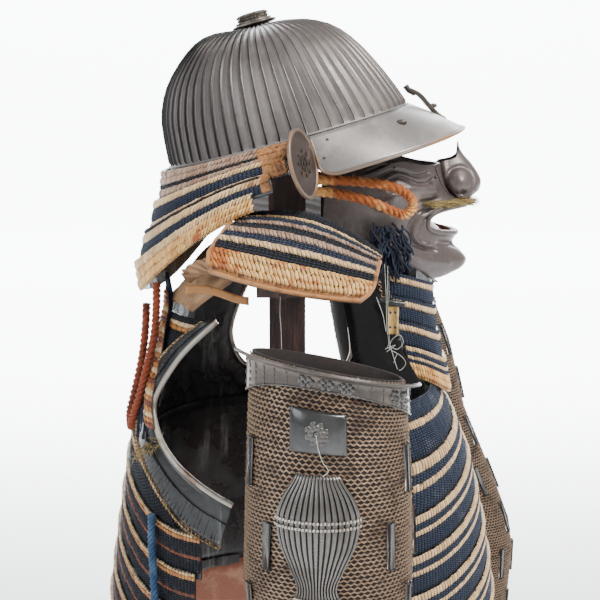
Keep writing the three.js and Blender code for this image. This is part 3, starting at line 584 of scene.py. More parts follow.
# how many beads, their ring's radius and height, and their size, in mm
CROWN_BEADS = [(44, 20.0, 1.4, 1.35), (38, 16.6, 3.8, 1.1), (30, 14.3, 8.7, 1.35),
               (30, 14.1, 6.2, 1.1)]
for count, radius, height, size in CROWN_BEADS:
    for turn in around(count):
        wide = WIDER * radius
        spot = Vector((wide * cos(turn), wide * sin(turn), TALLER * height))
        beads.append(bead(tilted(CROWN + spot), size * MM, detail=(6, 4)))
settle(merged_copies("crown_beads", beads), aged_metal)

# ---------------------------------------------------------------- the visor
# One iron plate riveted under the bowl's front, broad over the brow and drawn down to rounded
# ends at the temples, with a rolled rim.
# angles of the grid's columns, closer together where the ends are rounded
VISOR_STOPS = [-80, -79.2, -78, -76, -73, -69, -62, -50, -38, -26, -13, 0,
               13, 26, 38, 50, 62, 69, 73, 76, 78, 79.2, 80]
RIM_HALF, RIM_DEEP = 112, 132  # the bowl's rim, half its width and its depth each way, in mm


def visor_point(s, t, rise=0.0):
    place = held(s) * (len(VISOR_STOPS) - 1)
    k = min(int(place), len(VISOR_STOPS) - 2)
    angle = mixed_by(VISOR_STOPS[k], VISOR_STOPS[k + 1], place - k)
    ahead = max(0.0, cos(radians(angle)))
    from_end = held((80 - abs(angle)) / 7)
    reach = t * mixed_by(0.72, 1, sqrt(1 - (1 - from_end) ** 2))
    out = 3.6 + reach * mixed_by(8, 50, ahead**1.3) + 1.6 * sin(pi * t) + rise
    height = -3 - reach * mixed_by(42, 40, ahead) + rise * 0.6
    return tilted(oval(angle, RIM_HALF + out, RIM_DEEP + out, RIM_DEEP + out, height))


visor = skin("visor_plate", 88, 12, visor_point, wall=2.0 * MM)
settle(visor, russet_iron, stands_for="visor")
outline = [visor_point(0, k / 8, 0.3) for k in range(1, 8)]
outline += [visor_point(k / 88, 1) for k in range(89)]
outline += [visor_point(1, 1 - k / 8, 0.3) for k in range(1, 8)]
rusty_edge = iron("rusty_edge", (112, 96, 84), (150, 104, 70), (176, 108, 60))
settle(wire("visor_rim", outline, 1.6 * MM), rusty_edge)
rivets = []
for side in (-1, 1):
    for share, down, size in ((0.36, 0.32, 5.4), (0.175, 0.18, 1.6), (0.11, 0.6, 1.5)):
        spot = visor_point(0.5 + side * (0.5 - share), down, 0.6)
        rivets.append(bead(spot, size * MM, (0.7, 1, 0.55), (14, 8)))
settle(merged_copies("visor_rivets", rivets), aged_metal)

# ---------------------------------------------------------------- the crest holder
# A bent strip of dark metal, riveted to the visor on its centre line by two round studs. Its
# forked tongue takes the foot of a crest.
strip = [(-155, 1197.5), (-146, 1203.5), (-137, 1212.5), (-126, 1224), (-115, 1229)]


def holder_point(s, t):
    y, z = smooth_row(strip, t * (len(strip) - 1))
    return Vector(((s - 0.5) * 16, y, z)) * MM


def rounded(piece, width, segments):
    """Rounds off a plate's edges."""
    rounding = piece.modifiers.new("edges", "BEVEL")
    rounding.width, rounding.segments = width, segments


holder = skin("crest_holder_strip", 6, 16, holder_point, wall=4.6 * MM)
rounded(holder, 0.8 * MM, 2)
settle(holder, aged_metal, stands_for="crest_holder")
prong = [(-0.0052, -0.1235, 1.2265), (-0.0052, -0.1170, 1.2300), (-0.0052, -0.1130, 1.2350)]
for name, side in SIDES:
    tip = [(side * x, y, z) for x, y, z in prong]
    settle(wire(f"crest_prong_{name}", tip, 2.8 * MM, steps=4), aged_metal)
studs = [bead(Vector((0, -143.5, 1214)) * MM, 4.4 * MM, (1, 1, 0.6), (14, 8)),
         bead(Vector((0, -131, 1222.5)) * MM, 3.0 * MM, (1, 1, 0.7), (12, 6))]
settle(merged_copies("crest_holder_studs", studs), aged_metal)

# ---------------------------------------------------------------- the neck guard
# Four rows of lacquered rawhide scales that fan out behind and close up towards their front
# ends. Each row shows its scale heads and is hung from the row above by close dark blue braid.
TURNS_A_LACE = 1.9


def plaited(name, dark, light, worn, wear):
    """Braid: its map runs one unit to a lace across and one to a lace's width down."""
    dark, light, worn = tint(*dark), tint(*light), tint(*worn)
    made, tree, shader = finish(name, Roughness=0.88, Sheen_Weight=0.06, Specular_IOR_Level=0.3)
    chart = map_of(tree)
    off_middle = off_middle_of(tree, chart["X"])
    slant = maths(tree, "MULTIPLY_ADD", chart["Y"], TURNS_A_LACE, off_middle)
    turn = maths(tree, "SINE", maths(tree, "MULTIPLY", slant, 2 * pi))
    # painted shade: each lace shows its own light colour on its strands' crests, and the dark
    # colour between them
    lit_strand = ramp(tree, turn, -0.6, 0.9)
    # painted shade: the groove between neighbouring laces is darkened to a third of the dark colour
    shaded_groove = ramp(tree, off_middle, 0.5, 0.3)
    spots = patched(tree, place_of(tree), 45.0, wear, light, worn, 0.7)
    colour = mix(tree, lit_strand, dark, spots.outputs["Colour"])
    colour = mix(tree, shaded_groove, tuple(c * 0.3 for c in dark[:3]) + (1,), colour)
    feed(tree, colour, shader.inputs["Base Color"])
    height = maths(tree, "MULTIPLY", lit_strand, shaded_groove)
    bump(tree, shader, height, 0.0011)
    return made


def headed(name, lacquer, shade, chip, chips):
    """Scale heads: lacquer that is chipped and stained, each head in its own shade."""
    lacquer, shade, chip = tint(*lacquer), tint(*shade), tint(*chip)
    made, tree, shader = finish(name, Roughness=0.5, Specular_IOR_Level=0.4)
    across = map_of(tree)["X"]
    own = put(tree, "TexWhiteNoise", {"W": maths(tree, "FLOOR", across)}, noise_dimensions="1D")
    colour = mix(tree, own.outputs["Value"], lacquer, shade)
    spots = patched(tree, place_of(tree), 75.0, chips, colour, chip, 0.6)
    # painted shade: the notch between neighbouring heads is painted near black
    gap = ramp(tree, off_middle_of(tree, across), 0.3, 0.46)
    colour = mix(tree, gap, spots.outputs["Colour"], (0.03, 0.02, 0.014, 1))
    feed(tree, colour, shader.inputs["Base Color"])
    bump(tree, shader, spots.outputs["Height"], 0.0004, 0.7)
    return made


# each braid's colours: dark is painted shade between strands, light is the silk's own colour, worn
# is its worn colour
blue_braid = plaited("blue_braid", (16, 21, 34), (50, 62, 84), (96, 104, 116), 0.42)
night_braid = plaited("night_braid", (9, 10, 14), (34, 38, 50), (62, 66, 78), 0.34)
cream_heads = headed("cream_heads", (222, 188, 138), (184, 146, 104), (140, 90, 54), 0.42)
rose_heads = headed("rose_heads", (176, 148, 126), (138, 106, 86), (92, 64, 50), 0.44)
tan_heads = headed("tan_heads", (182, 122, 62), (138, 84, 44), (82, 42, 28), 0.44)
gold_heads = headed("gold_heads", (226, 182, 112), (198, 142, 76), (160, 84, 34), 0.5)
pale_heads = headed("pale_heads", (216, 188, 142), (184, 150, 106), (130, 88, 56), 0.4)
rust_heads = headed("rust_heads", (122, 64, 40), (92, 46, 32), (56, 32, 26), 0.44)

# How far each kind of band stands out over one lace or scale, at its three columns, in mm.
BAND_SHAPES = {
    "heads": (0.1, 1.75, 1.6), "ribs": (0.2, 1.6, 1.3), "braid": (0.25, 1.5, 1.45),
    "plain": (0.3, 0.3, 0.3), "points": (0.1, 1.8, 1.75),
}
LACE = 4.4  # the usual width of a lace, in mm
PROUD, TUCK = 0.35, 1.6  # how far a row lies off its wall, and how deep its edges tuck in, in mm
JITTERS = ((0, 0, 0), (0, 50, 0), (0, 0, 80))


def laced(name, place, laces, bands, finishes, width=LACE, slot="indigo_lacing", swell=1.0,
          slant=0.2, ragged=0.4):
    """A row of scales and braid laid over the surface place(s, t) in mm. Each band is its kind,
    its top and foot as shares of the row's height, its finish, and its rows; its edges tuck in."""
    levels = []
    for kind, top, foot, which, cuts in bands:
        for k in range(cuts + 1):
            share = k / cuts
            crown = sin(pi * share) ** 0.5 if cuts > 1 else 1.0
            crown = 1.0 if kind == "plain" else crown
            levels.append((mixed_by(top, foot, share), kind, crown, which, share))
    columns, rows = laces * 3, len(levels)
    foot_point, top_point = place(0.5, levels[-1][0]), place(0.5, levels[0][0])
    tall = (foot_point - top_point).length / max(1e-6, levels[-1][0] - levels[0][0])
    grid = [[place(i / columns, level[0]) for i in range(columns + 1)] for level in levels]

    def lift(s, t):
        i, j = round(s * columns), round(t * (rows + 1)) - 1
        sunk = 0.0
        if j < 0 or j >= rows:
            j, sunk = held(j, 0, rows - 1), TUCK
        if i in (0, columns):
            sunk = TUCK
        _, kind, crown, _, share = levels[j]
        lace, phase = divmod(i, 3)
        rise = BAND_SHAPES[kind][phase] * swell
        rise = PROUD + rise * mixed_by(0.35, 1.0, crown)
        spot = grid[j][i].copy()
        along = grid[j][min(i + 1, columns)] - grid[j][max(i - 1, 0)]
        out = along.cross(grid[0][i] - grid[-1][i]).normalized()
        along.normalize()
        down = (grid[-1][i] - grid[0][i]).normalized()
        own = Vector((lace * 1.73, j * 0.61, len(name) * 3.1))
        if kind == "points" and crown < 0.5:
            spot += down * (2.2, 0.4, 0.4)[phase]
        if kind != "plain" and 0 < i < columns:
            if kind != "braid":
                spot += along * slant * width * (share - 0.5)
            aside, below, proud = (noise.noise(own + Vector(off)) for off in JITTERS)
            spot += along * ragged * aside + down * ragged * below
            rise += ragged * 1.1 * proud + 0.25 * noise.noise(spot * 0.05)
        return (spot + out * (rise - sunk - (PROUD if sunk else 0))) * MM

    def which(s, t):
        j = held(int(t * (rows + 1)) - 1, 0, rows - 2)
        chosen = levels[j + 1][3] if levels[j][0] == levels[j + 1][0] else levels[j][3]
        return chosen(s) if callable(chosen) else chosen

    piece = skin(name, columns, rows + 1, lift, (laces, 1.0), face_finish=which)
    # The map's downward measure follows the row's real heights, in laces.
    stops = [levels[0][0]] + [level[0] for level in levels] + [levels[-1][0]]
    for loop in piece.data.uv_layers["surface"].data:
        loop.uv[1] = stops[round(loop.uv[1] * (rows + 1))] * tall / width
    settle(piece, *finishes, slot=slot)


# The wall behind each row is lacquered black inside, with streaks of dust.
black_lacquer, tree, shader = finish("black_lacquer", Roughness=0.3, Specular_IOR_Level=0.4)
where = place_of(tree)
spots = patched(tree, where, 14.0, 0.5, tint(38, 38, 39), tint(56, 57, 57), 0.5)
streaks = put(tree, "Mapping", {"Vector": where, "Scale": (60.0, 60.0, 5.0)}).outputs["Vector"]
dust = put(tree, "TexNoise", {"Vector": streaks, "Scale": 1.0, "Detail": 6.0, "Roughness": 0.7})
chance = put(tree, "TexNoise", {"Vector": where, "Scale": 11.0, "Detail": 3.0})
dust = maths(tree, "MULTIPLY", ramp(tree, dust.outputs["Fac"], 0.5, 0.72),
             ramp(tree, chance.outputs["Fac"], 0.42, 0.62))
colour = mix(tree, dust, spots.outputs["Colour"], tint(118, 120, 118))
feed(tree, colour, shader.inputs["Base Color"])
roughened(tree, shader, spots.outputs["Mask"], 0.26, 0.5)
bump(tree, shader, spots.outputs["Height"], 0.0003, 0.6)

NECK_DEEP = 132.4
# How far each seam hangs below the rim and stands out from it, behind and at the row's ends, in mm
NECK_SEAMS = [(0, 4, 0, 4), (29, 21, 12, 16), (57, 40, 24, 28), (86, 61, 36, 40), (114, 69, 47, 48)]


def neck_point(lame, s, t):
    span = 95 - lame * 6.5
    angle = 180 + mixed_by(-span, span, s)
    towards_end = eased(abs(angle - 180), 0, 80)
    upper, lower = NECK_SEAMS[lame], NECK_SEAMS[lame + 1]
    drop = [mixed_by(seam[0], seam[2], towards_end) for seam in (upper, lower)]
    outs = [mixed_by(seam[1], seam[3], towards_end) for seam in (upper, lower)]
    leftward = sin(pi * held((180 - angle) / 64))
    askew = 22 * ((lame + t) / 4) ** 2 * leftward
    height = -1 - askew - mixed_by(drop[0], drop[1] + 6, t)
    out = mixed_by(outs[0] + 3.2, outs[1], t)
    return oval(angle, RIM_HALF + out, NECK_DEEP + out, NECK_DEEP + out, height)


def neck_place(lame):
    return lambda s, t: HELMET_TILT @ (neck_point(lame, s, t) * MM) / MM


tan_leather = patchy("tan_leather", (60.0, 0.5, (158, 108, 62), (104, 66, 42), 0.6),
                     (0.0005, 0.7), Roughness=0.6)
neck_finishes = (rose_heads, night_braid, cream_heads, blue_braid, gold_heads, tan_leather)


def to_leather(which, share):
    """A band's finish, with leather over the row's two ends."""
    return lambda s: 5 if min(s, 1 - s) < share else which


NECK_BANDS = [
    [("points", 0.0, 0.2, 0, 3), ("points", 0.2, 0.42, 0, 3), ("braid", 0.42, 0.55, 1, 2),
     ("points", 0.55, 0.78, 0, 3), ("braid", 0.78, 0.87, 3, 2)],
    [("points", 0.0, 0.24, 2, 3), ("braid", 0.24, 0.66, 3, 4), ("points", 0.66, 0.87, 2, 3)],
    [("braid", 0.0, 0.12, 1, 2), ("points", 0.12, 0.42, 2, 3), ("braid", 0.42, 0.87, 3, 4)],
    [("points", 0.0, 0.3, 2, 3), ("points", 0.3, 0.62, 4, 3), ("points", 0.62, 0.95, 4, 3),
     ("plain", 0.95, 1.0, 4, 1)],
]
LEATHER_ENDS = (0.09, 0.05, 0.02, 0.0)
for lame, leather in enumerate(LEATHER_ENDS):
    coat(f"neck_lame_{lame + 1}", black_lacquer)
    bands = [(kind, a, b, to_leather(which, leather), cuts)
             for kind, a, b, which, cuts in NECK_BANDS[lame]]
    laced(f"neck_row_{lame + 1}", neck_place(lame), 100 + 6 * lame, bands, neck_finishes,
          width=5.2, slot="gold_lacquer", swell=1.2, slant=-0.9, ragged=0.7)

# ---------------------------------------------------------------- the turnbacks
# The first row's front ends turn outwards into ear-shaped plates, faced with stencilled leather
# and rimmed with a metal roll. The stencil is a plain rosette.
dark_leather, tree, shader = finish("dark_leather", Roughness=0.5)
spots = patched(tree, place_of(tree), 45.0, 0.42, tint(52, 42, 38), tint(84, 64, 50), 0.6)
gilt = patched(tree, place_of(tree), 75.0, 0.34, spots.outputs["Colour"], tint(164, 118, 64), 0.4)
feed(tree, gilt.outputs["Colour"], shader.inputs["Base Color"])
bump(tree, shader, gilt.outputs["Mask"], 0.0004, 0.6)
rim_metal = patchy("rim_metal", (34.0, 0.5, (156, 148, 138), (112, 86, 70), 0.7),
                   (0.0002, 0.5), Metallic=0.55, Roughness=0.4)



def pulled_in(turn):
    """An ear's width, narrower towards its foot."""
    return 1 - 0.1 * max(0.0, -sin(turn)) ** 2


for name, side in SIDES:
    outward = Vector((side * 54, 26, 0)).normalized()
    upward = Vector((0, 17, 66)).normalized()
    facing = outward.cross(upward).normalized()
    upward = facing.cross(outward)
    centre = Vector((side * 145, -4, 1163))
    front = facing if facing.y < 0 else -facing
    middle = centre + facing * (1.25 if side < 0 else -1.25)

    def ear_point(s, t):
        turn = 2 * pi * s * (1 if front == facing else -1)
        reach = sin(pi * t)
        flat = cos(pi * t)
        thick = 1.5 - 1.1 * reach**6
        thick = 1 if abs(flat) < 1e-6 else thick / max(abs(flat), 0.2) * min(1, abs(flat) * 5)
        return (middle + outward * 27 * reach * cos(turn) * pulled_in(turn)
                + upward * 33 * reach * sin(turn) + front * flat * thick) * MM

    ear = skin(f"turnback_plate_{name}", 40, 16, ear_point, seam=True)
    settle(ear, dark_leather, slot="leather", stands_for=f"turnback_{name}")
    ring = [(middle + outward * 26.6 * cos(turn) * pulled_in(turn)
             + upward * 32.6 * sin(turn)) * MM for turn in around(48)]
    settle(wire(f"turnback_rim_{name}", ring, 2.1 * MM, True), rusty_edge, slot="leather")
    petals = []
    for reach, count, size in ((0, 1, 3.0), (6, 8, 2.6), (12, 8, 2.2)):
        for turn in around(count):
            out = (outward * cos(turn) + upward * sin(turn)) * reach
            petals.append(bead((middle + out + front * 1.5) * MM, size * MM, (1, 0.5, 1)))
    settle(merged_copies(f"turnback_rosette_{name}", petals), gold_heads, slot="leather")

# ---------------------------------------------------------------- the face mask
# A russet iron half-mask of the fierce kind, hammered from one plate with a separate nose: deep
# folds on the cheeks, an open mouth with rolled lips, and a jutting chin.
mask_iron = patchy("mask_iron", (22.0, 0.5, (88, 79, 76), (104, 95, 91), 0.4),
                   grain=(520.0, 3.0, 0.0004, 0.5), Metallic=0.3, Roughness=0.36)

# z, half width, front at the cheeks, front in the middle: sections from its top edge down, in mm
MASK_SECTIONS = [
    (1160, 67, 152, 150), (1145, 70, 155, 153), (1130, 71, 159, 158), (1120, 71, 162, 166),
    (1112, 70, 164, 181), (1105, 69, 166, 182), (1093, 67, 166, 169), (1081, 65, 167, 172),
    (1076, 64, 168, 172), (1066, 62, 168, 168), (1056, 58, 172, 178), (1047, 55, 172, 184),
    (1038, 49, 169, 179), (1030, 42, 160, 165), (1026, 37, 154, 156),
]
# the mouth's height, and half its width and half its own height, in mm
MOUTH = (1093.5, 41, 15.5)
# Each fold runs through these y, z points on the cheek, with its depth (a furrow is negative)
# and its width in mm.
FOLDS = [
    ([(-78, 1141), (-91, 1147), (-99, 1149), (-109, 1147), (-118, 1143), (-126, 1142),
      (-136, 1145)], -2.6, 2.0),
    ([(-80, 1137), (-93, 1143.5), (-101, 1146.5), (-110, 1143.5), (-120, 1139), (-129, 1138),
      (-138, 1141)], 1.9, 2.0),
    ([(-80, 1132), (-93, 1139), (-101, 1143), (-110, 1140), (-120, 1134.5), (-130, 1134),
      (-140, 1138)], -2.6, 1.9),
    ([(-96, 1126), (-112, 1130), (-126, 1129), (-138, 1128)], 4.2, 7.0),
    ([(-92, 1129), (-105, 1126), (-115, 1119), (-124, 1115), (-136, 1115), (-146, 1117)], -2.6,
     2.4),
    ([(-150, 1112), (-137, 1109), (-126, 1104), (-117, 1094), (-114, 1081), (-121, 1070),
      (-134, 1064), (-146, 1062)], -3.2, 2.3),
    ([(-150, 1108), (-138, 1105), (-129, 1100), (-121, 1091), (-119, 1081), (-125, 1073),
      (-136, 1068)], 2.6, 2.4),
    ([(-140, 1101), (-130, 1096), (-124, 1088), (-124, 1079), (-130, 1072)], -2.0, 1.8),
    ([(-150, 1070), (-160, 1066), (-168, 1065)], -2.2, 3.0),
    ([(-70, 1120), (-82, 1112), (-96, 1108), (-104, 1100)], -1.5, 3.0),
    ([(-96, 1090), (-104, 1074), (-118, 1058), (-136, 1050), (-160, 1046)], 2.0, 5.0),
]


def near_fold(y, z, line):
    best = 1e9
    for (a, b), (c, d) in zip(line, line[1:]):
        run = Vector((c - a, d - b))
        along = held(((y - a) * run.x + (z - b) * run.y) / run.length_squared)
        best = min(best, hypot(y - a - along * run.x, z - b - along * run.y))
    return best


def smooth_table(rows, value):
    """A table read smoothly at a value in its falling first column."""
    k = 0
    while k < len(rows) - 2 and rows[k + 1][0] > value:
        k += 1
    share = held((rows[k][0] - value) / (rows[k][0] - rows[k + 1][0]))
    return smooth_row(rows, k + share)


def mask_surface(angle, z, rise=0.0):
    _, half, cheek, middle = smooth_table(MASK_SECTIONS, z)
    front = mixed_by(middle, cheek, eased(abs(angle), 12, 44))
    turn = radians(angle)
    ahead = cos(turn)
    spot = Vector((half * sin(turn) * (1 - 0.12 * max(0, ahead) ** 3), -45 - (front - 45) * ahead,
                   z))
    return spot + Vector((sin(turn), -ahead, 0)) * rise


def mask_point(s, t, rise=0.0):
    angle = mixed_by(-100, 100, s)
    aside = abs(angle) / 100
    top = mixed_by(1153, 1140, eased(aside, 0.5, 1))
    top += 6 * exp(-(((abs(angle) - 58) / 14) ** 2))
    bottom = mixed_by(1027, 1082, eased(aside, 0.25, 1))
    z = mixed_by(top, bottom, t)
    spot = mask_surface(angle, z)
    if abs(angle) > 8:
        for line, depth, width in FOLDS:
            gap = near_fold(spot.y, z, line)
            if gap < 3 * width:
                rise += depth * 1.15 * exp(-((gap / width) ** 2))
    edge = held(min(t, 1 - t, s, 1 - s) / 0.03)
    return mask_surface(angle, z, rise * edge + 0.4) * MM


face = skin("mask_shell", 168, 100, mask_point)
shape = bmesh.new()
shape.from_mesh(face.data)
mouth_z, mouth_half, mouth_tall = MOUTH


def in_mouth(spot, grow=1.0):
    across, down = abs(spot.x / MM) / mouth_half, abs(spot.z / MM - mouth_z) / mouth_tall
    return across**2.8 + down**2.8 < grow and spot.y < -0.105


def mouth_edge(turn, grow=0.0):
    """A point x, z on the mouth's rounded opening, grown by some millimetres."""
    x, z = (copysign(abs(v) ** (2 / 2.8), v) for v in (cos(turn), sin(turn)))
    return (mouth_half + grow) * x, mouth_z + (mouth_tall + grow * 0.5) * z


bmesh.ops.delete(shape, geom=[f for f in shape.faces if in_mouth(f.calc_center_median())],
                 context="FACES")
for vert in shape.verts:
    if vert.is_boundary and in_mouth(vert.co, 1.6):
        across, down = vert.co.x / MM / mouth_half, (vert.co.z / MM - mouth_z) / mouth_tall
        turn = atan2(copysign(abs(down) ** 1.4, down), copysign(abs(across) ** 1.4, across))
        x, z = mouth_edge(turn)
        vert.co.x, vert.co.z = x * MM, z * MM
shape.to_mesh(face.data)
shape.free()
walled(face, 2.4 * MM)
settle(face, mask_iron, stands_for="mask_face")


def lip_line(grow, sink):
    """Points round the mouth's edge, on the mask's surface and sunk a little into it."""
    line = []
    for turn in around(72):
        x, z = mouth_edge(turn, grow)
        low, high = 0.0, 60.0
        for _ in range(18):
            middle = (low + high) / 2
            low, high = (middle, high) if mask_surface(middle, z).x < abs(x) else (low, middle)
        line.append(mask_surface(copysign(low, x), z, -sink) * MM)
    return line


lip_red = patchy("lip_red", (60.0, 0.5, (128, 62, 48), (92, 52, 44), 0.4), Roughness=0.5)
settle(wire("mask_lips", lip_line(0.8, 0.6), 3.1 * MM, True, sides=4), mask_iron)
settle(wire("mask_lips_inner", lip_line(-1.6, 3.6), 2.2 * MM, True, sides=4), lip_red)


# Inside the lower jaw the iron is turned in.
def jaw_point(s, t):
    depth = -mixed_by(154, 122, t) + 16 * (2 * s - 1) ** 2
    return Vector((mixed_by(-35, 35, s) * (1 - 0.25 * t), depth, mixed_by(1079, 1106, t))) * MM


settle(skin("mask_jaw_inside", 16, 8, jaw_point, wall=1.4 * MM), mask_iron)

# height, half width, and how far forward the ridge and the root stand, in mm
NOSE = [
    (1175, 3, 172, 167), (1166, 9, 175, 160), (1152, 15, 187, 158), (1136, 21, 197, 161),
    (1124, 22, 196, 166), (1115.5, 17, 187, 172),
]


def nose_point(s, t):
    share = abs(2 * s - 1)
    side = -1 if s < 0.5 else 1
    top = smooth_row([(1176,), (1172,), (1164,), (1159,), (1156,), (1152,), (1149,)], share * 6)[0]
    z = mixed_by(top, mixed_by(1115, 1118, eased(share, 0.4, 0.8)), t)
    _, half, tip, root = smooth_table(NOSE, z)
    if share < 0.62:
        turn = pi / 2 * share / 0.62
        spot = Vector((half * sin(turn), -root - (tip - root) * cos(turn) ** 0.9, z))
    else:
        foot = Vector((half, -root, z))
        edge = mask_surface(mixed_by(36, 28, t), z, 2.2)
        along = (share - 0.62) / 0.38
        spot = foot.lerp(edge, along)
        angle = degrees(atan2(spot.x, -45 - spot.y))
        surface = mask_surface(angle, z, 2.2)
        spot = spot.lerp(Vector((surface.x, surface.y, z)), eased(along, 0, 0.4))
    ball = hypot(spot.y + 172, z - 1135)
    hole = hypot(spot.y + 176, (z - 1123) * 1.2)
    puff = 4.6 * exp(-((ball / 9.5) ** 2)) - 2.4 * exp(-(((ball - 14.5) / 2.0) ** 2))
    puff -= 5.0 * exp(-((hole / 3.0) ** 2))
    spot.x += puff * eased(share, 0.12, 0.4) * (1 - eased(share, 0.8, 1.0) * 0.6)
    spot.y -= 0.35 * max(0, puff) * (1 - share)
    return Vector((side * spot.x, spot.y, z)) * MM


nose = skin("mask_nose_plate", 84, 46, nose_point, wall=1.8 * MM)
settle(nose, mask_iron, stands_for="mask_nose")
studs = [bead(Vector((side * x, y, z)) * MM, r * MM, (1, 1, 1), (12, 8))
         for side in (-1, 1)
         for x, y, z, r in ((44, -143, 1141, 2.1), (62, -98, 1152, 1.6), (62, -84, 1085, 3.2))]
settle(merged_copies("mask_studs", studs), aged_metal)

# Stiff straw-coloured bristles set into the upper lip.
bristle = patchy("bristle", (200.0, 0.5, (150, 128, 82), (98, 80, 50), 0.5), Roughness=0.6)
chance = random.Random(7)


def tapered_hair(root, tip, radius, bend=0.0, sides=3):
    def add(shape):
        run = tip - root
        across = run.orthogonal().normalized()
        other = run.normalized().cross(across)
        made = bmesh.ops.create_circle(shape, segments=sides, radius=radius, cap_ends=True)
        first = made["verts"]
        for vert in first:
            x, y = vert.co.x, vert.co.y
            vert.co = root + across * x + other * y
        half = root + run * 0.5 + Vector((0, 0, bend))
        made = bmesh.ops.create_circle(shape, segments=sides, radius=radius * 0.8)["verts"]
        for vert in made:
            vert.co = half + across * vert.co.x + other * vert.co.y
        point = shape.verts.new(tip)
        for k in range(sides):
            n = (k + 1) % sides
            shape.faces.new((first[n], first[k], made[k], made[n]))
            shape.faces.new((made[n], made[k], point))
    return add


hairs = []
for k in range(620):
    share = chance.uniform(-1, 1)
    angle = share * 46
    root = mask_surface(angle, 1113 + chance.uniform(-2.6, 2.4), 1.0)
    out = Vector((sin(radians(angle)) * 0.8, -1.0, chance.uniform(-0.45, 0.4)))
    out += Vector((chance.uniform(-0.3, 0.3), -0.5 * abs(share), -0.1))
    tip = (root + out.normalized() * chance.uniform(6, 19)) * MM
    hairs.append(tapered_hair(root * MM, tip, 0.42 * MM, chance.uniform(-0.5, 0.9) * MM))
settle(merged_copies("moustache_bristles", hairs), bristle, slot="hair", stands_for="moustache")

# The orange cords are frayed: short fibres stand out all along them.
orange_fray = patchy("orange_fray", (60.0, 0.5, (206, 140, 80), (160, 84, 38), 0.8), Roughness=0.9)
hairs = []
for side in (-1, 1):
    line = smooth_line(metres(chin_route, side), 9)
    for _ in range(420):
        k = chance.randrange(1, len(line) - 1)
        spot = line[k].lerp(line[k + 1], chance.random())
        run = (line[k + 1] - line[k]).normalized()
        out = Vector((chance.gauss(0, 1), chance.gauss(0, 1), chance.gauss(0, 1)))
        out = (out - run * out.dot(run)).normalized()
        root = spot + out * 4.2 * MM
        lie = out * chance.uniform(0.4, 1.0) + run * chance.uniform(-0.9, 0.9)
        tip = root + lie * chance.uniform(2.5, 5.5) * MM
        hairs.append(tapered_hair(root, tip, 0.2 * MM, chance.uniform(-0.5, 0.5) * MM))
settle(merged_copies("chin_cord_fibres", hairs), orange_fray, slot="orange_cord")

# ---------------------------------------------------------------- the throat guard
# Four curved rows of lacquered scales that hang from the mask's jaw over the chest, each laced
# in dark blue to the one above. The last row ends in gilt heads.
# each seam's height in the middle and at its ends, half width, depth and squareness, in mm
THROAT_SEAMS = [
    (1023, 1049, 78, 82, 2), (998, 1025, 81, 85, 2.1), (970, 1000, 84, 89, 2.4),
    (941, 974, 88, 96, 2.8), (903, 941, 92, 106, 3.2),
]


def throat_point(lame, s, t):
    angle = radians(mixed_by(-69, 69, s))
    front_z, end_z, half, ahead, power = (
        mixed_by(a, b, t) for a, b in zip(THROAT_SEAMS[lame], THROAT_SEAMS[lame + 1])
    )
    overlap = 5 * t if lame < 3 else 0
    aside = sin(angle)
    out = 3 * (1 - t)
    return Vector((
        (half + out) * copysign(abs(aside) ** (2 / power), aside),
        -62 - (ahead + out) * cos(angle) ** (2 / power),
        mixed_by(front_z, end_z, aside**2) - overlap,
    ))


laced_finishes = (cream_heads, blue_braid, tan_heads, night_braid, gold_heads)
for lame in range(4):
    coat(f"throat_lame_{lame + 1}", black_lacquer)
    bands = [("braid", 0.0, 0.12, 1, 2), ("points", 0.12, 0.31, 0, 3), ("braid", 0.31, 0.84, 1, 4)]
    if lame == 3:
        bands = [("ribs", 0.0, 0.14, 0, 3), ("braid", 0.14, 0.3, 1, 2), ("heads", 0.3, 0.4, 0, 2),
                 ("braid", 0.4, 0.52, 1, 2), ("points", 0.52, 0.72, 4, 3),
                 ("points", 0.72, 0.93, 4, 3), ("plain", 0.93, 1.0, 4, 1)]
    laced(f"throat_row_{lame + 1}", lambda s, t: throat_point(lame, s, t), 50 + 3 * lame, bands,
          laced_finishes)

# ---------------------------------------------------------------- the cuirass
# Six rows of scales wrap from the right front round the left side to the right back, where they
# stay open; shorter rows go on up to the chest and back plates. All are laced in dark blue.
# height, half width, depth in front and behind, and how square the section is, in mm
TRUNK = [
    (1010, 128, 118, 138, 2.8), (965, 150, 132, 155, 2.8), (925, 166, 142, 167, 2.8),
    (903, 174, 155, 174, 2.7), (868, 183, 174, 183, 2.6), (830, 189, 188, 190, 2.5),
    (755, 196, 206, 202, 2.4), (685, 200, 218, 213, 2.4), (600, 202, 223, 218, 2.4),
]


def trunk(angle, z, out):
    """A point on the trunk in mm, at an angle from the front towards the wearer's left."""
    _, half, front, back, square = table_row(TRUNK, z)
    aside, ahead = sin(radians(angle)), cos(radians(angle))
    depth = front if ahead > 0 else back
    return Vector((
        (half + out) * copysign(abs(aside) ** (2 / square), aside),
        -(depth + out) * copysign(abs(ahead) ** (2 / square), ahead),
        z,
    ))


def sag(angle):
    """How far the rows hang down towards their open ends at the right."""
    return 29 * eased(-angle, 8, 70) + 42 * eased(angle, 186, 240)


ROW_TALL = 48  # a row's height, in mm
SLOPE = 4.2  # how much further out than its foot a row's top stands, in mm


def lame_point(start, end, top, s, t):
    angle = mixed_by(start, end, s)
    return trunk(angle, top - t * ROW_TALL - sag(angle), SLOPE * (1 - t))


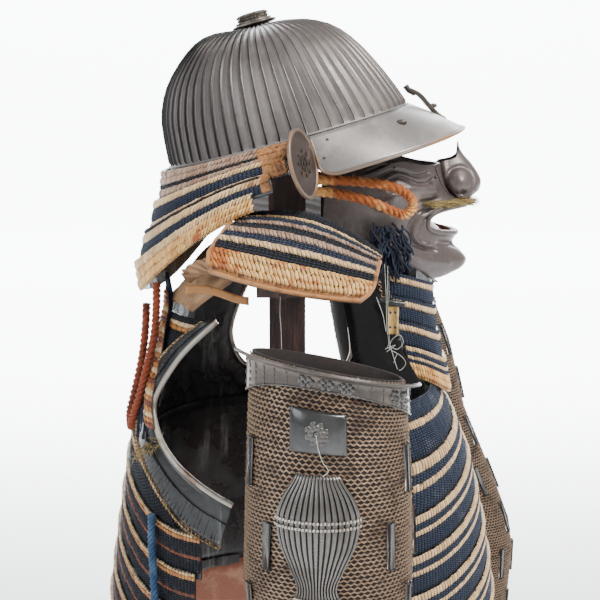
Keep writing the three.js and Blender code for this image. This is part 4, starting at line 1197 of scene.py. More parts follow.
rear_finishes = (tan_heads, night_braid, pale_heads, rust_heads)
FRONT_BANDS = [("ribs", 0.0, 0.16, 0, 3), ("braid", 0.16, 0.32, 1, 2), ("heads", 0.32, 0.43, 0, 2),
               ("braid", 0.43, 0.86, 1, 4)]
REAR_BANDS = [("points", 0.0, 0.055, 2, 2), ("ribs", 0.055, 0.165, 0, 2),
              ("braid", 0.17, 0.48, 1, 3),
              ("heads", 0.48, 0.55, 3, 2), ("braid", 0.55, 0.86, 1, 3)]
WRAP_ROWS, ROW_DROP, WRAP_TOP = 6, 40, 842
FRONT_LACES, REAR_LACES = 162, 100
SPLIT_AT = 126  # where the lacing of the front gives way to that of the back, in degrees


def wrap_ends(lame):
    """Where a row starts and ends round the trunk, in degrees: each is shorter than the last."""
    return -68 + 0.7 * lame, 245 - 1.3 * lame


for lame in range(WRAP_ROWS):
    coat(f"wrap_lame_{lame + 1}", black_lacquer)
    top = WRAP_TOP - ROW_DROP * lame
    start, end = wrap_ends(lame)
    laced(f"wrap_row_{lame + 1}", lambda s, t: lame_point(start, SPLIT_AT, top, s, t),
          FRONT_LACES, FRONT_BANDS, laced_finishes)
    laced(f"wrap_row_rear_{lame + 1}", lambda s, t: lame_point(SPLIT_AT, end, top, s, t),
          REAR_LACES, REAR_BANDS, rear_finishes, slant=0.1, ragged=0.55)

# height, and how far the rows reach to the right and the left, in degrees
FRONT_REACH = [(925, 64, 68), (900, 62, 66), (880, 62, 68), (840, 65, 74)]
BACK_REACH = [(1005, 57, 64), (965, 43, 62), (924, 35, 60), (895, 40, 60), (873, 49, 64),
              (834, 57, 72)]


def upper_point(back, top, height, s, t):
    z = top - t * height
    _, right, left = table_row(BACK_REACH if back else FRONT_REACH, z)
    angle = mixed_by(180 - left, 180 + right, s) if back else mixed_by(-right, left, s)
    droop = sag(angle) * eased(925 - z, 0, 83)
    return trunk(angle, z - droop, SLOPE * (1 - t))


CHEST_LACES, BACK_LACES = 84, 72
# node, whether it is at the back, its top and its height in mm
UPPER_ROWS = [
    ("chest_plate", False, 925, 51), ("front_upper_lame", False, 882, 48),
    ("back_plate", True, 1004, 50), ("back_upper_lame_1", True, 962, 48),
    ("back_upper_lame_2", True, 922, 48), ("back_upper_lame_3", True, 882, 48),
]
for node, back, top, height in UPPER_ROWS:
    coat(node, black_lacquer)
    bands = [("plain", 0.0, 0.04, 1, 1), ("braid", 0.04, 0.14, 1, 1)] + FRONT_BANDS[1:]
    if back:
        bands = [("braid", 0.0, 0.12, 1, 1), ("points", 0.12, 0.2, 2, 2), ("ribs", 0.2, 0.3, 0, 2),
                 ("braid", 0.3, 0.86, 1, 4)]
    elif not node.endswith("plate"):
        bands = FRONT_BANDS
    laced(f"{node}_row", lambda s, t: upper_point(back, top, height, s, t),
          BACK_LACES if back else CHEST_LACES, bands,
          rear_finishes if back else laced_finishes, ragged=0.55)

# The rows are lined with black lacquered hide; low down at its far end the lining is coloured
# russet.
russet_hide = patchy("russet_hide", (30.0, 0.5, (160, 106, 84), (196, 146, 120), 0.5),
                     (0.0004, 0.7), Roughness=0.7)


def lining_place(s, t):
    angle = mixed_by(-66, 237, s)
    return trunk(angle, mixed_by(835, 596, t) - sag(angle), -3.2) * MM


lining = skin("cuirass_lining", 120, 16, lining_place, wall=1.2 * MM,
              face_finish=lambda s, t: int(s > 0.9 - 0.04 * t and t > 0.5))
settle(lining, black_lacquer, russet_hide, slot="black_lacquer")

# ---------------------------------------------------------------- the armpit plates
# Black lacquered plates edge the armholes and the open side. Each has a thick rolled metal rim
# along its top, and braid and scale heads along its foot.
# stations along each rim: its angle and height, then those of the plate's foot
ARMPITS = {
    "right_back": [
        (243.6, 1005, 236, 1004), (229, 970, 216, 965), (218.4, 924, 205, 915),
        (224, 895, 211, 875),
        (233.6, 873, 225, 843), (246, 851, 240, 808), (255.5, 836, 252, 792),
    ],
    "right_front": [
        (-75, 826, -69, 792), (-73, 850, -62, 828), (-72, 886, -60, 876), (-73, 922, -62, 920),
    ],
    "left": [
        (72, 928, 61, 924), (73, 890, 62, 878), (79, 866, 71, 840), (90, 857, 88, 824),
        (101, 864, 107, 834), (109, 885, 121, 870), (113, 924, 125, 915), (111, 965, 123, 960),
        (107, 1005, 119, 1004),
    ],
}
ARMPIT_BANDS = [("braid", 0.0, 0.8, 1, 4), ("ribs", 0.8, 0.92, 0, 2), ("points", 0.92, 1.0, 2, 2)]
for name, stations in ARMPITS.items():
    def armpit_point(s, t, out=8.8):
        angle, z, foot_angle, foot_z = smooth_row(stations, s * (len(stations) - 1))
        return trunk(mixed_by(angle, foot_angle, t), mixed_by(z, foot_z, t), out) * MM

    plate = skin(f"armpit_shell_{name}", 12 * (len(stations) - 1), 6, armpit_point, wall=2.2 * MM)
    settle(plate, black_lacquer, slot="black_lacquer", stands_for=f"armpit_plate_{name}")
    along = length_of([armpit_point(k / 40, 0.7) for k in range(41)]) / MM

    def braid_point(s, t):
        s = s if name == "left" else 1 - s
        return armpit_point(s, mixed_by(0.42, 1.0, t), 9.4) / MM

    laced(f"armpit_braid_{name}", braid_point, round(along / LACE), ARMPIT_BANDS, rear_finishes,
          ragged=0.6)
    edge = [armpit_point(k / 60, 0, 7.8) for k in range(61)]
    settle(wire(f"armpit_rim_{name}", edge, 2.9 * MM), rim_metal, slot="black_lacquer")

# ---------------------------------------------------------------- the shoulder straps
# Padded straps from the back plate over the stand's bar to the chest plate: pale leather
# behind, and dark cloth with a frayed outer edge in front.
pale_hide = patchy("pale_hide", (30.0, 0.5, (150, 116, 84), (98, 66, 46), 0.7),
                   (0.0006, 0.8), Roughness=0.75)
dark_cloth = patchy("dark_cloth", (50.0, 0.45, (13, 12, 14), (26, 22, 22), 0.9),
                    (0.0006, 0.8), Roughness=0.9, Specular_IOR_Level=0.2)
# the inner edge's x, y, z and then the outer edge's, from the back over the shoulder, in mm
STRAP_STATIONS = [
    (62, 140, 1014, 112, 116, 1014), (80, 108, 1050, 132, 86, 1040),
    (92, 52, 1074, 142, 46, 1067), (94, -12, 1076, 144, -14, 1068),
    (95, -52, 1062, 144, -42, 1054), (98, -84, 1022, 144, -52, 1014),
    (104, -104, 974, 150, -60, 968), (108, -128, 932, 154, -84, 932),
]
for name, side in SIDES:
    def strap_point(s, t):
        along = s if side < 0 else 1 - s
        row = smooth_row(STRAP_STATIONS, along * (len(STRAP_STATIONS) - 1))
        across = [mixed_by(row[k], row[k + 3], t) for k in range(3)]
        puff = 2.2 * sin(pi * held(t)) ** 0.6
        return Vector((side * across[0], across[1], across[2] + puff)) * MM

    strap = skin(f"strap_pad_{name}", 60, 10, strap_point, wall=10 * MM,
                 face_finish=lambda s, t: int((s if side < 0 else 1 - s) > 0.52))
    rounded(strap, 3 * MM, 3)
    settle(strap, pale_hide, dark_cloth, slot="leather", stands_for=f"shoulder_strap_{name}")
    fray = []
    for _ in range(260):
        ends = (0.54, 0.98) if side < 0 else (0.02, 0.46)
        root = strap_point(mixed_by(*ends, chance.random()), 1.0)
        out = Vector((side * chance.uniform(-0.2, 0.5), 1.0, chance.uniform(-0.9, 0.5)))
        out.normalize()
        tip = root + out * chance.uniform(2, 7) * MM
        fray.append(tapered_hair(root - out * MM, tip, 0.45 * MM, chance.uniform(-1, 0.5) * MM))
    settle(merged_copies(f"strap_fray_{name}", fray), dark_cloth, slot="leather")

# ---------------------------------------------------------------- the shoulder flaps
# Small wings that hang from the straps over the shoulders: rows of scale heads between bands
# of blue braid, on a leather backing with a rolled leather hem.
# the inner edge's hind and front ends, then the outer edge's, in mm
FLAP_EDGES = (((118, 52, 1110), (150, -80, 1075)), ((205, 91, 1073), (215, -65, 1044)))


def flap_point(side, s, t):
    along = held(s if side < 0 else 1 - s)
    along = 0.5 + (along - 0.5) * (1 - 0.13 * held((t - 0.72) / 0.28) ** 3)
    inner, outer = (Vector(hind).lerp(Vector(fore), along) for hind, fore in FLAP_EDGES)
    edge = inner.lerp(outer, t)
    middle = sin(pi * along)
    crown = sin(pi * held(t))
    step = 3.2 * (1 - (t * 5) % 1 if t < 0.999 else 0)
    return Vector((side * (edge.x + step * 0.6 + 5 * middle * t), edge.y,
                   edge.z + mixed_by(18, -5, t) * middle + 9 * crown + step * 0.8))


amber_heads = headed("amber_heads", (196, 120, 50), (160, 84, 34), (112, 54, 26), 0.5)
flap_finishes = (night_braid, cream_heads, blue_braid, rose_heads, gold_heads, tan_leather,
                 amber_heads)
FLAP_LACES = 38
FLAP_BANDS = [
    ("braid", 0.0, 0.12, 0, 2), ("points", 0.12, 0.17, 1, 2), ("braid", 0.17, 0.27, 2, 2),
    ("points", 0.27, 0.32, 3, 2), ("braid", 0.32, 0.43, 0, 2), ("points", 0.43, 0.5, 3, 2),
    ("braid", 0.5, 0.6, 2, 3), ("points", 0.6, 0.66, 1, 2), ("braid", 0.66, 0.75, 0, 2),
    ("points", 0.75, 0.82, 4, 3), ("points", 0.82, 0.89, 4, 3), ("points", 0.89, 0.95, 4, 3),
    ("plain", 0.95, 1.0, 5, 1),
]
for name, side in SIDES:
    # The gold rows turn amber towards their hind ends.
    def gold_or_amber(s):
        return 6 if (s if side < 0 else 1 - s) < 0.13 else 4

    bands = [(kind, a, b, gold_or_amber if which == 4 else which, cuts)
             for kind, a, b, which, cuts in FLAP_BANDS]
    laced(f"flap_rows_{name}", lambda s, t: flap_point(side, s, t), FLAP_LACES, bands,
          flap_finishes,
          width=4.6, slot="gold_lacquer", slant=0.9, ragged=0.7, swell=1.2)

    def backing_point(s, t):
        return (flap_point(side, s, t) - Vector((-1.4 * side, 0, 1.6))) * MM

    backing = skin(f"flap_backing_{name}", 28, 20, backing_point, wall=2.4 * MM)
    settle(backing, dark_leather, slot="leather", stands_for=f"shoulder_flap_{name}")
    hem = [flap_point(side, 0, k / 12) for k in range(4, 12)]
    hem += [flap_point(side, k / 40, 1) for k in range(41)]
    hem += [flap_point(side, 1, 1 - k / 12) for k in range(1, 9)]
    settle(wire(f"flap_hem_{name}", [point * MM for point in hem], 2.2 * MM), tan_leather,
           slot="leather")
    holes = [bead(flap_point(side, (k + 0.5) / 12 + off, 0.965) * MM, 1.1 * MM, detail=(6, 4))
             for k in range(12) for off in (-0.008, 0.008)]
    settle(merged_copies(f"flap_holes_{name}", holes), dark_leather, slot="leather")

# ---------------------------------------------------------------- cords, knots and threads
# Ends of blue braid bunch below the jaw and down the back edge; a horn toggle and a gilt plate
# hang at the right strap; loose threads trail from the flap, the toggle and the emblem plate.
blue_silk = patchy("blue_silk", (60.0, 0.5, (18, 24, 40), (32, 42, 62), 1.2), Roughness=0.85)
pale_silk = patchy("pale_silk", (60.0, 0.5, (38, 66, 96), (66, 94, 120), 1.2), Roughness=0.8)
thread_white = patchy("thread_white", (60.0, 0.5, (196, 196, 186), (150, 146, 136), 0.5),
                      Roughness=0.7)


def threads(name, lines, radius, sides=1, steps=4):
    """Many thin round strands as one curve with a spline for each."""
    piece = wire(name, lines[0], radius, sides=sides, steps=steps)
    for line in lines[1:]:
        run_spline(piece.data, smooth_line(line, steps))
    return piece


chance = random.Random(11)
for name, side in SIDES:
    ends = []
    for _ in range(110):
        x, y = side * chance.uniform(74, 92), chance.uniform(-106, -72)
        z = chance.uniform(1066, 1098)
        line = [Vector((x, y, z)) * MM]
        for _ in range(3):
            x += side * chance.uniform(-2, 5)
            y += chance.uniform(-8, 5)
            z -= chance.uniform(5, 12)
            line.append(Vector((x, y, z)) * MM)
        ends.append(line)
    settle(threads(f"jaw_braid_ends_{name}", ends, 1.0 * MM, steps=3), blue_silk,
           slot="indigo_lacing")

cords = []
for _ in range(18):
    shift = chance.uniform(-6, 8)
    cords.append([trunk(mixed_by(198, 214, k / 7) + shift * 0.6 + chance.uniform(-1, 1),
                        mixed_by(1038, 882, k / 7) + chance.uniform(-4, 4),
                        chance.uniform(5, 9)) * MM for k in range(8)])
settle(threads("back_edge_braids", cords, 1.8 * MM), blue_silk, slot="indigo_lacing")
STRIP = [("points", k / 26, (k + 1) / 26, (0, 3, 0, 2)[k % 4], 2) for k in range(26)]


def strip_point(s, t):
    angle = mixed_by(203, 220, t) + (s - 0.5) * 6 + 1.2 * sin(7 * t)
    return trunk(angle, mixed_by(1026, 898, t), 11 + 2 * sin(9 * t))


laced("back_edge_strip", strip_point, 3, STRIP, rear_finishes, ragged=0.8)
hairs = []
for _ in range(150):
    root = Vector((chance.uniform(-150, -122), chance.uniform(138, 166), 0))
    root.z = 886 - 0.7 * (root.y - 140) + chance.uniform(-4, 4)
    out = Vector((-1.0, chance.uniform(-0.4, 1.2), chance.uniform(-0.9, 0.8))).normalized()
    tip = (root + out * chance.uniform(6, 15)) * MM
    hairs.append(tapered_hair(root * MM, tip, 0.35 * MM, chance.uniform(-2, 1) * MM))
settle(merged_copies("back_edge_tuft", hairs), bristle, slot="hair")
tail_route = metres([(-156, 150, 812), (-160, 150, 780), (-168, 148, 745), (-175, 146, 700),
                     (-180, 144, 640), (-184, 142, 590)])
tail, _ = rope("rear_braid_trim", tail_route, 4.4 * MM, turns=9, strands=4)
settle(tail, pale_silk, slot="indigo_lacing")

roll_route = metres([(-133, 112, 1052), (-137, 98, 1061), (-140, 82, 1064), (-141, 66, 1058)])
roll, _ = rope("strap_roll", roll_route, 8.0 * MM, turns=1, strands=6)
settle(roll, pale_hide, slot="leather")


def strap_end_point(s, t):
    height = mixed_by(1044, 1036, s) + 3 * sin(5 * s) - 8 * t
    return Vector((-142 - 2 * s, mixed_by(112, 50, s), height)) * MM


strap_end = skin("strap_end", 20, 3, strap_end_point, wall=2.2 * MM)
settle(strap_end, tan_leather, slot="leather")

toggle = wire("toggle", metres([(-116, -80, 1024), (-117, -92, 1022), (-116, -105, 1020)]),
              3.4 * MM, sides=4, steps=3)
settle(toggle, black_lacquer, slot="black_lacquer")
gilt = patchy("gilt", (90.0, 0.5, (206, 168, 104), (150, 112, 66), 0.5), Metallic=0.7,
              Roughness=0.4)


def toggle_plate_point(s, t):
    return Vector((-117 + sin(pi * s), -88 - 11 * s, mixed_by(1019, 989, t))) * MM


plate = skin("toggle_plate", 6, 12, toggle_plate_point, wall=2.0 * MM)
settle(plate, gilt, slot="leather")
holes = [bead(Vector((-118.6, y, z)) * MM, 1.4 * MM, (0.6, 1, 1))
         for y in (-91, -96) for z in (1012, 997)]
settle(merged_copies("toggle_plate_holes", holes), black_lacquer, slot="black_lacquer")
loose = [
    [(-120, -84, 1062), (-121, -86, 1030), (-121, -87, 1000), (-122, -89, 979), (-122, -80, 972),
     (-122, -72, 966)],
    [(-121, -87, 1060), (-121, -88, 1020), (-122, -90, 985), (-122, -93, 972), (-123, -100, 950)],
    [(-122, -90, 979), (-122, -98, 975), (-122, -104, 982), (-122, -100, 990), (-122, -92, 984),
     (-122, -90, 974)],
    [(-122, -92, 974), (-122, -102, 968), (-122, -107, 960), (-122, -101, 953), (-122, -95, 960),
     (-122, -98, 970)],
    [(-122, -88, 976), (-122, -96, 979), (-122, -80, 966), (-122, -78, 958)],
    [(-203, 18, 1046), (-202, 18.5, 1030), (-203, 17.5, 1015), (-202, 17, 996)],
    [(-205, -70, 1046), (-204, -76, 1030), (-180, -80, 1015), (-150, -84, 1000)],
]
settle(threads("loose_threads", [metres(line) for line in loose], 0.28 * MM, steps=6), thread_white,
       slot="hair")

# ---------------------------------------------------------------- the skirt
# Seven panels of four laced rows each, hung from the cuirass's last row by a strip of blue
# braid. They are lined with russet leather.
PANELS, REAR_PANELS, PANEL_LACES = 7, 3, 38
PANEL_GAP = 0.75  # from a panel's edge to the middle of the gap, in degrees
# Heights in mm: where the panels hang from, the braid above them, and the rows' tops and sizes
HUNG_FROM, BRAID_TOP, BRAID_FOOT, PANEL_TOP, PANEL_DROP, PANEL_ROW = 600, 583, 561, 560, 46, 44


def skirt_point(start, end, s, z, lip):
    angle = mixed_by(start, end, s)
    point = trunk(angle, HUNG_FROM, 1 + 0.1 * max(0, 586 - z) + lip)
    point.z = z - sag(angle)
    return point


first, last = wrap_ends(WRAP_ROWS)
span = (last - first) / PANELS
for panel in range(PANELS):
    coat(f"skirt_panel_{panel + 1}", black_lacquer)
    start, end = first + panel * span + PANEL_GAP, first + (panel + 1) * span - PANEL_GAP
    rear = panel >= PANELS - REAR_PANELS
    for row in range(5):
        if row == 0:
            heights, lips, bands = (BRAID_TOP, BRAID_FOOT), (0, 2.9), [("braid", 0.0, 1.0, 1, 4)]
        else:
            top = PANEL_TOP - (row - 1) * PANEL_DROP
            heights, lips = (top, top - PANEL_ROW), (3.2, 0)
            bands = [("ribs", 0.0, 0.18, 0, 2), ("braid", 0.18, 0.34, 1, 1),
                     ("heads", 0.34, 0.46, 0, 2), ("braid", 0.46, 0.96, 1, 3)]
            if rear:
                bands = REAR_BANDS[:4] + [("braid", 0.55, 0.96, 1, 3)]
            if row == 4:
                bands = bands[:3] + [("braid", 0.46, 0.7, 1, 2), ("ribs", 0.7, 0.94, 0, 2)]
        laced(f"skirt_{panel + 1}_row_{row}",
              lambda s, t: skirt_point(start, end, s, mixed_by(*heights, t), mixed_by(*lips, t)),
              PANEL_LACES, bands, rear_finishes if rear else laced_finishes)


def skirt_lining_point(s, t):
    return skirt_point(first, last, s, mixed_by(596, 386, t), -4.6) * MM


skirt_lining = skin("skirt_lining", 90, 10, skirt_lining_point, wall=1.2 * MM)
settle(skirt_lining, russet_hide, slot="leather")

# ---------------------------------------------------------------- the sleeves
# Each sleeve is a tube of dark hemp cloth with brown iron mail sewn over it, a flanged cap at the
# shoulder, small splints, a domed emblem plate, a fluted elbow plate and a hand guard.
hemp, tree, shader = finish("hemp_lining", Roughness=0.95, Sheen_Weight=0.05)
where = place_of(tree)
spots = patched(tree, where, 20.0, 0.45, tint(36, 30, 28), tint(56, 42, 37), 0.6)
feed(tree, spots.outputs["Colour"], shader.inputs["Base Color"])
chart = put(tree, "UVMap", uv_map="surface").outputs["UV"]
weave = put(tree, "TexChecker", {"Vector": chart, "Scale": 1.0})
bump(tree, shader, weave.outputs["Fac"], 0.0003)
mail_iron = patchy("mail_iron", (34.0, 0.5, (140, 116, 94), (88, 70, 56), 1.5),
                   Metallic=0.5, Roughness=0.42)
mail_gap = patchy("mail_gap", (120.0, 0.5, (26, 21, 19), (50, 36, 30), 0.6), Roughness=0.9)
splint_iron = iron("splint_iron", (92, 90, 88), (74, 68, 64), (98, 74, 58), 0.6, (0.26, 0.42))
# the fluted iron's groove is painted shade: a near-black line down the hollow between flutes
fluted_iron = iron("fluted_iron", (112, 108, 104), (90, 85, 80), (100, 82, 68), 0.7, (0.26, 0.4),
                   shaded_groove=(0.0, 0.2))
pale_iron = iron("pale_iron", (176, 170, 162), (150, 140, 130), (120, 96, 80), 0.7, (0.24, 0.4))
cap_iron = iron("cap_iron", (86, 79, 74), (120, 111, 102), (124, 98, 76), 0.5, (0.3, 0.5))
emblem_black = iron("emblem_black", (68, 68, 68), (88, 87, 86), (98, 90, 80), 0.6, (0.16, 0.26))

TOP, FOOT = 992, 376
GOURD_TOP, GOURD_TALL = 905, 168
FLUTES = 15
COURSES, LINKS = 158, 114
# The outer side's angle, and sections: height, centre x and y, half width and half depth, in mm
SLEEVES = {
    "right": (270, [(992, -238, -25, 68, 42), (900, -240, -26, 74, 46), (800, -242, -26, 77, 48),
                    (700, -243, -29, 73, 46), (600, -242, -36, 62, 42), (480, -240, -44, 50, 37),
                    (376, -238, -50, 42, 32)]),
    "left": (90, [(992, 224, -100, 70, 40), (900, 230, -125, 76, 44), (800, 238, -149, 77, 46),
                  (700, 243, -196, 73, 45), (633, 244, -229, 66, 42), (588, 244, -240, 62, 41),
                  (480, 243, -246, 50, 36), (376, 242, -242, 42, 32)]),
}
# the emblem's petals: how far across and down from its middle, rise, size and flatness
PETALS = [(0.09, 0.13, 0.3, 3.4, 0.4), (0.15, 0.22, 0.1, 3.0, 0.35)]
# how far down the cap, a lip standing up being negative, and how far it stands out, in mm
CAP = [(-3, 15), (-1.2, 10.5), (1.5, 6.4), (4, 4.8), (8, 4.4), (12.5, 4.2)]
# how far down the elbow plate, its half width there and how far it bulges, in mm
GOURD = [(0, 19, 2), (20, 30, 7), (38, 35, 10), (62, 32, 10), (88, 22, 7), (104, 17, 4),
         (122, 23, 6), (146, 25, 6), (168, 15, 2)]
for name, side in SIDES:
    outer, sections = SLEEVES[name]

    def sleeve_point(angle, z, out):
        _, x, y, wide, deep = table_row(sections, z)
        turn = radians(angle)
        point = Vector((x + (deep + out) * sin(turn), y - (wide + out) * cos(turn), z))
        level = 1 - eased(TOP - z, 0, 120)
        point.z += level * (0.2 * (point.y - y) + 0.11 * (point.x - x) * side)
        return point

    def lining_point(s, t):
        fold = 0.5 * noise.noise(Vector((s * 9, t * 8, side)))
        return sleeve_point(360 * s, mixed_by(TOP, FOOT, t), fold - 0.4) * MM

    lining = skin(f"sleeve_lining_{name}", 48, 32, lining_point, uv=(260, 400), seam=True,
                  wall=2.2 * MM)
    settle(lining, hemp, slot="mail_on_cloth", stands_for=f"sleeve_cloth_{name}")

    # Mail: each course of rings is a zig-zag of wire that stands proud of the cloth. It stops
    # short of the seam at the back of the inner arm, where the cloth is bare.
    bare_from = 90 if side < 0 else 180

    def mail_point(s, t):
        column, row = round(s * LINKS), round(t * COURSES * 3)
        course, part = divmod(row, 3)
        zig = 0.95 if (column + course) % 2 else -0.95
        z = mixed_by(TOP - 2, FOOT + 2, min(1, course / COURSES)) + zig - (0.0, 0.8, 1.6)[part]
        rise = (0.3, 1.9 if column % 2 else 1.3, 0.3)[part]
        jitter = noise.noise(Vector((column * 0.8, course * 0.9, side)))
        return sleeve_point(bare_from + 90 + 270 * s, z + 1.0 * jitter, rise + 0.7 * jitter) * MM

    mail = skin(f"sleeve_mail_{name}", LINKS, COURSES * 3, mail_point,
                face_finish=lambda s, t: int(int(t * COURSES * 3) % 3 == 2))
    settle(mail, mail_iron, mail_gap, slot="mail_on_cloth")

    def cap_point(s, t, rise=0.0):
        down, out = smooth_row(CAP, t * (len(CAP) - 1))
        angle = outer + mixed_by(-80, 80, s)
        arch = 17 * (2 * s - 1) ** 2 * eased(down, 2, 12)
        point = sleeve_point(angle, 988 - max(0, down) - arch, out + rise)
        point.z -= min(0, down)
        return point * MM

    cap = skin(f"sleeve_cap_plate_{name}", 90, 15, cap_point, wall=2.0 * MM)
    settle(cap, cap_iron, stands_for=f"sleeve_cap_{name}")
    edge = [cap_point(k / 60, 0) for k in range(61)]
    settle(wire(f"sleeve_cap_rim_{name}", edge, 1.1 * MM), cap_iron)
    edge = [cap_point(k / 60, 1, 0.2) for k in range(61)]
    settle(wire(f"sleeve_cap_foot_{name}", edge, 0.7 * MM), splint_iron)
    roundels = []
    for share in (0.4, 0.485, 0.57, 0.82, 0.9):
        for k in range(7):
            turn = 2 * pi * k / 6
            reach = 0.0 if k == 6 else 1.0
            spot = cap_point(share + reach * 0.026 * cos(turn), 0.76 + reach * 0.13 * sin(turn),
                             0.4)
            roundels.append(bead(spot, (2.6 if k < 6 else 2.0) * MM, (0.45, 1, 1)))
    for k in range(17):
        if abs(k / 16 - 0.49) > 0.11:
            for part in range(5):
                roundels.append(bead(cap_point(k / 16, 0.55 + 0.1 * part, 0.2), 1.0 * MM,
                                     (0.6, 0.7, 2.2), (6, 4)))
    settle(merged_copies(f"sleeve_cap_roundels_{name}", roundels), splint_iron)

    plates = outer + (-8 if side < 0 else 8)

    def emblem_point(s, t, rise=0.0):
        raised = sin(pi * held(s)) * sin(pi * held(t))
        angle = plates + mixed_by(-19.5, 19.5, s)
        return sleeve_point(angle, 940 + mixed_by(18, -18, t), 3.9 + 6.6 * raised**0.42 + rise) * MM

    emblem = skin(f"emblem_plate_{name}", 36, 28, emblem_point, wall=2.2 * MM)
    rounded(emblem, 0.6 * MM, 2)
    settle(emblem, emblem_black, slot="black_lacquer", stands_for=f"sleeve_emblem_{name}")
    petals = [bead(emblem_point(0.5, 0.5, 1.0), 2.4 * MM, (0.5, 1, 1), (10, 6))]
    for turn in around(8):
        for wide, tall, rise, size, flat in PETALS:
            spot = emblem_point(0.5 + wide * cos(turn), 0.5 + tall * sin(turn), rise)
            petals.append(bead(spot, size * MM, (flat, 1, 1), (10, 6)))
            turn += pi / 8
    for s in (0.06, 0.94):
        for t in (0.07, 0.93):
            petals.append(bead(emblem_point(s, t, 0.4), 1.1 * MM, (0.6, 1, 1), (6, 4)))
    settle(merged_copies(f"emblem_rosette_{name}", petals), splint_iron, slot="black_lacquer")

    tied, over = emblem_point(0.5, 0.5, 4.0), emblem_point(0.52, 0.8, 1.0)
    loose_end = [over + Vector((side * 2, y, z)) * MM for y, z in ((-4, -12), (-9, -20), (-4, -25))]
    settle(wire(f"emblem_thread_{name}", [tied, over] + loose_end, 0.26 * MM, steps=6),
           thread_white, slot="hair")

    def gourd_point(s, t, rise=0.0):
        down = GOURD_TALL * t
        at = table_row([(row[0], k) for k, row in enumerate(GOURD)], down)[1]
        half, bulge = smooth_row([row[1:] for row in GOURD], at)
        across = mixed_by(-1, 1, s)
        _, _, _, wide, _ = table_row(sections, GOURD_TOP - down)
        angle = plates + degrees(asin(held(across * half / wide, -1, 1)))
        raised = bulge * sqrt(max(0, 1 - across**2))
        flute = 1.9 * abs(sin(pi * s * FLUTES)) * min(1, 8 * t, 8 * (1 - t)) - 0.2
        band = exp(-(((down - 41) / 4.2) ** 2)) + exp(-(((down - 113) / 3) ** 2))
        out = 3.5 + raised + flute * (1 - band) + 0.8 * band + rise
        return sleeve_point(angle, GOURD_TOP - down, out) * MM

    gourd = skin(f"gourd_plate_{name}", FLUTES * 6, 44, gourd_point, (FLUTES, 1), wall=2.2 * MM)
    settle(gourd, fluted_iron, stands_for=f"sleeve_gourd_{name}")
    beads = []
    for down, count in ((38, 26), (44, 26), (113, 18)):
        for k in range(count):
            beads.append(bead(gourd_point((k + 0.5) / count, down / GOURD_TALL, 1.0), 1.5 * MM))
    settle(merged_copies(f"gourd_beads_{name}", beads), pale_iron)

    # Small splints stand upright in the mail, in staggered courses.
    splints = []
    for course, z in enumerate((905, 835, 770, 700, 640, 575, 505, 440)):
        for k in range(8):
            angle = outer + (k + 0.5 * (course % 2)) * 45 + 22
            apart = abs((angle - plates + 180) % 360 - 180)
            if apart < 34 and z > 720 or bare_from - 4 < angle % 360 < bare_from + 94:
                continue
            splints.append((angle, z))

    def splint(angle, z):
        def add(shape):
            made = bmesh.ops.create_cube(shape, size=1.0)
            top = sleeve_point(angle, z + 21, 2.6) * MM
            foot = sleeve_point(angle, z - 21, 2.6) * MM
            out = (sleeve_point(angle, z, 9) - sleeve_point(angle, z, 2)).normalized()
            up = (top - foot).normalized()
            across = up.cross(out).normalized()
            for vert in made["verts"]:
                x, y, h = vert.co
                vert.co = ((top + foot) / 2 + across * x * 6.5 * MM + out * y * 2.6 * MM
                           + up * h * 44 * MM)
            bmesh.ops.bevel(shape, geom=list({e for v in made["verts"] for e in v.link_edges}),
                            offset=0.9 * MM,
                            affect="EDGES", segments=1, profile=0.5, material=-1)
        return add

    settle(merged_copies(f"sleeve_splints_{name}", [splint(*one) for one in splints]), splint_iron)

    def hand_point(s, t):
        angle = outer + mixed_by(-62, 62, s) * (1 - 0.35 * t)
        out = 4.4 + 4 * sin(2.4 * t) + 1.5 * exp(-(((t - 0.82) / 0.05) ** 2))
        point = sleeve_point(angle, FOOT, out)
        point.z = 388 - t * 108
        return point * MM

    hand = skin(f"hand_guard_plate_{name}", 36, 22, hand_point, wall=2.2 * MM)
    settle(hand, cap_iron, stands_for=f"hand_guard_{name}")

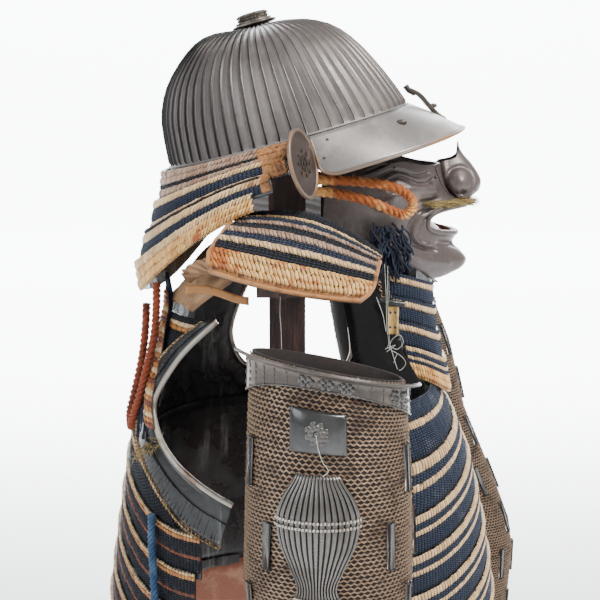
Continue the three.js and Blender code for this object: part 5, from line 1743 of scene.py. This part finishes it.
# ---------------------------------------------------------------- floor and light
# A white painted floor that curves up behind the stand and glows, brightest at the back, a pale
# sky, and three soft round lamps.
floor_paint, tree, shader = finish("floor_paint", Roughness=0.9, Base_Color=(0.86, 0.88, 0.9, 1),
                                   Emission_Strength=8.0)
split = put(tree, "SeparateXYZ", {"Vector": place_of(tree)})
glow = mix(tree, ramp(tree, split.outputs["X"], 0.8, 3.2), (0.08, 0.08, 0.08, 1),
           (0.95, 0.98, 1.0, 1))
feed(tree, glow, shader.inputs["Emission Color"])
shape = bmesh.new()
bmesh.ops.create_grid(shape, x_segments=2, y_segments=2, size=6)
edge = [e for e in shape.edges if all(v.co.x > 5.9 for v in e.verts)]
for k in range(8):
    made = bmesh.ops.extrude_edge_only(shape, edges=edge)["geom"]
    fresh = [g for g in made if isinstance(g, bmesh.types.BMVert)]
    edge = [g for g in made if isinstance(g, bmesh.types.BMEdge)]
    before, turn = (pi / 2 * n / 8 for n in (k, k + 1))
    step = Vector((sin(turn) - sin(before), 0, cos(before) - cos(turn)))
    bmesh.ops.translate(shape, verts=fresh, vec=2 * step)
made = bmesh.ops.extrude_edge_only(shape, edges=edge)["geom"]
bmesh.ops.translate(shape, verts=[g for g in made if isinstance(g, bmesh.types.BMVert)],
                    vec=(0, 0, 5))
for face in shape.faces:
    face.smooth = True
floor = piece_from("floor", shape)
bpy.context.scene.collection.objects.link(floor)
floor.data.materials.append(floor_paint)

world = bpy.data.worlds.new("studio")
bpy.context.scene.world = world
world.use_nodes = True
sky = world.node_tree.nodes["Background"].inputs
sky["Color"].default_value, sky["Strength"].default_value = (0.93, 0.96, 1.0, 1), 0.62


def soft_light(name, spot, aim, size, power, colour=(1, 1, 1)):
    data = bpy.data.lights.new(name, "AREA")
    data.shape, data.size, data.energy, data.color = "DISK", size, power, colour
    lamp = added(name, data)
    lamp.location = spot
    lamp.rotation_euler = (Vector(aim) - Vector(spot)).to_track_quat("-Z", "Y").to_euler()


soft_light("key", (-1.2, -1.3, 2.9), (0, 0, 1.0), 0.9, 108, (1.0, 0.98, 0.95))
soft_light("fill", (-1.6, 1.6, 1.9), (0, 0, 0.9), 1.6, 34, (0.93, 0.97, 1.0))
soft_light("rim", (1.4, 0.6, 2.6), (0, 0, 1.1), 1.2, 28)
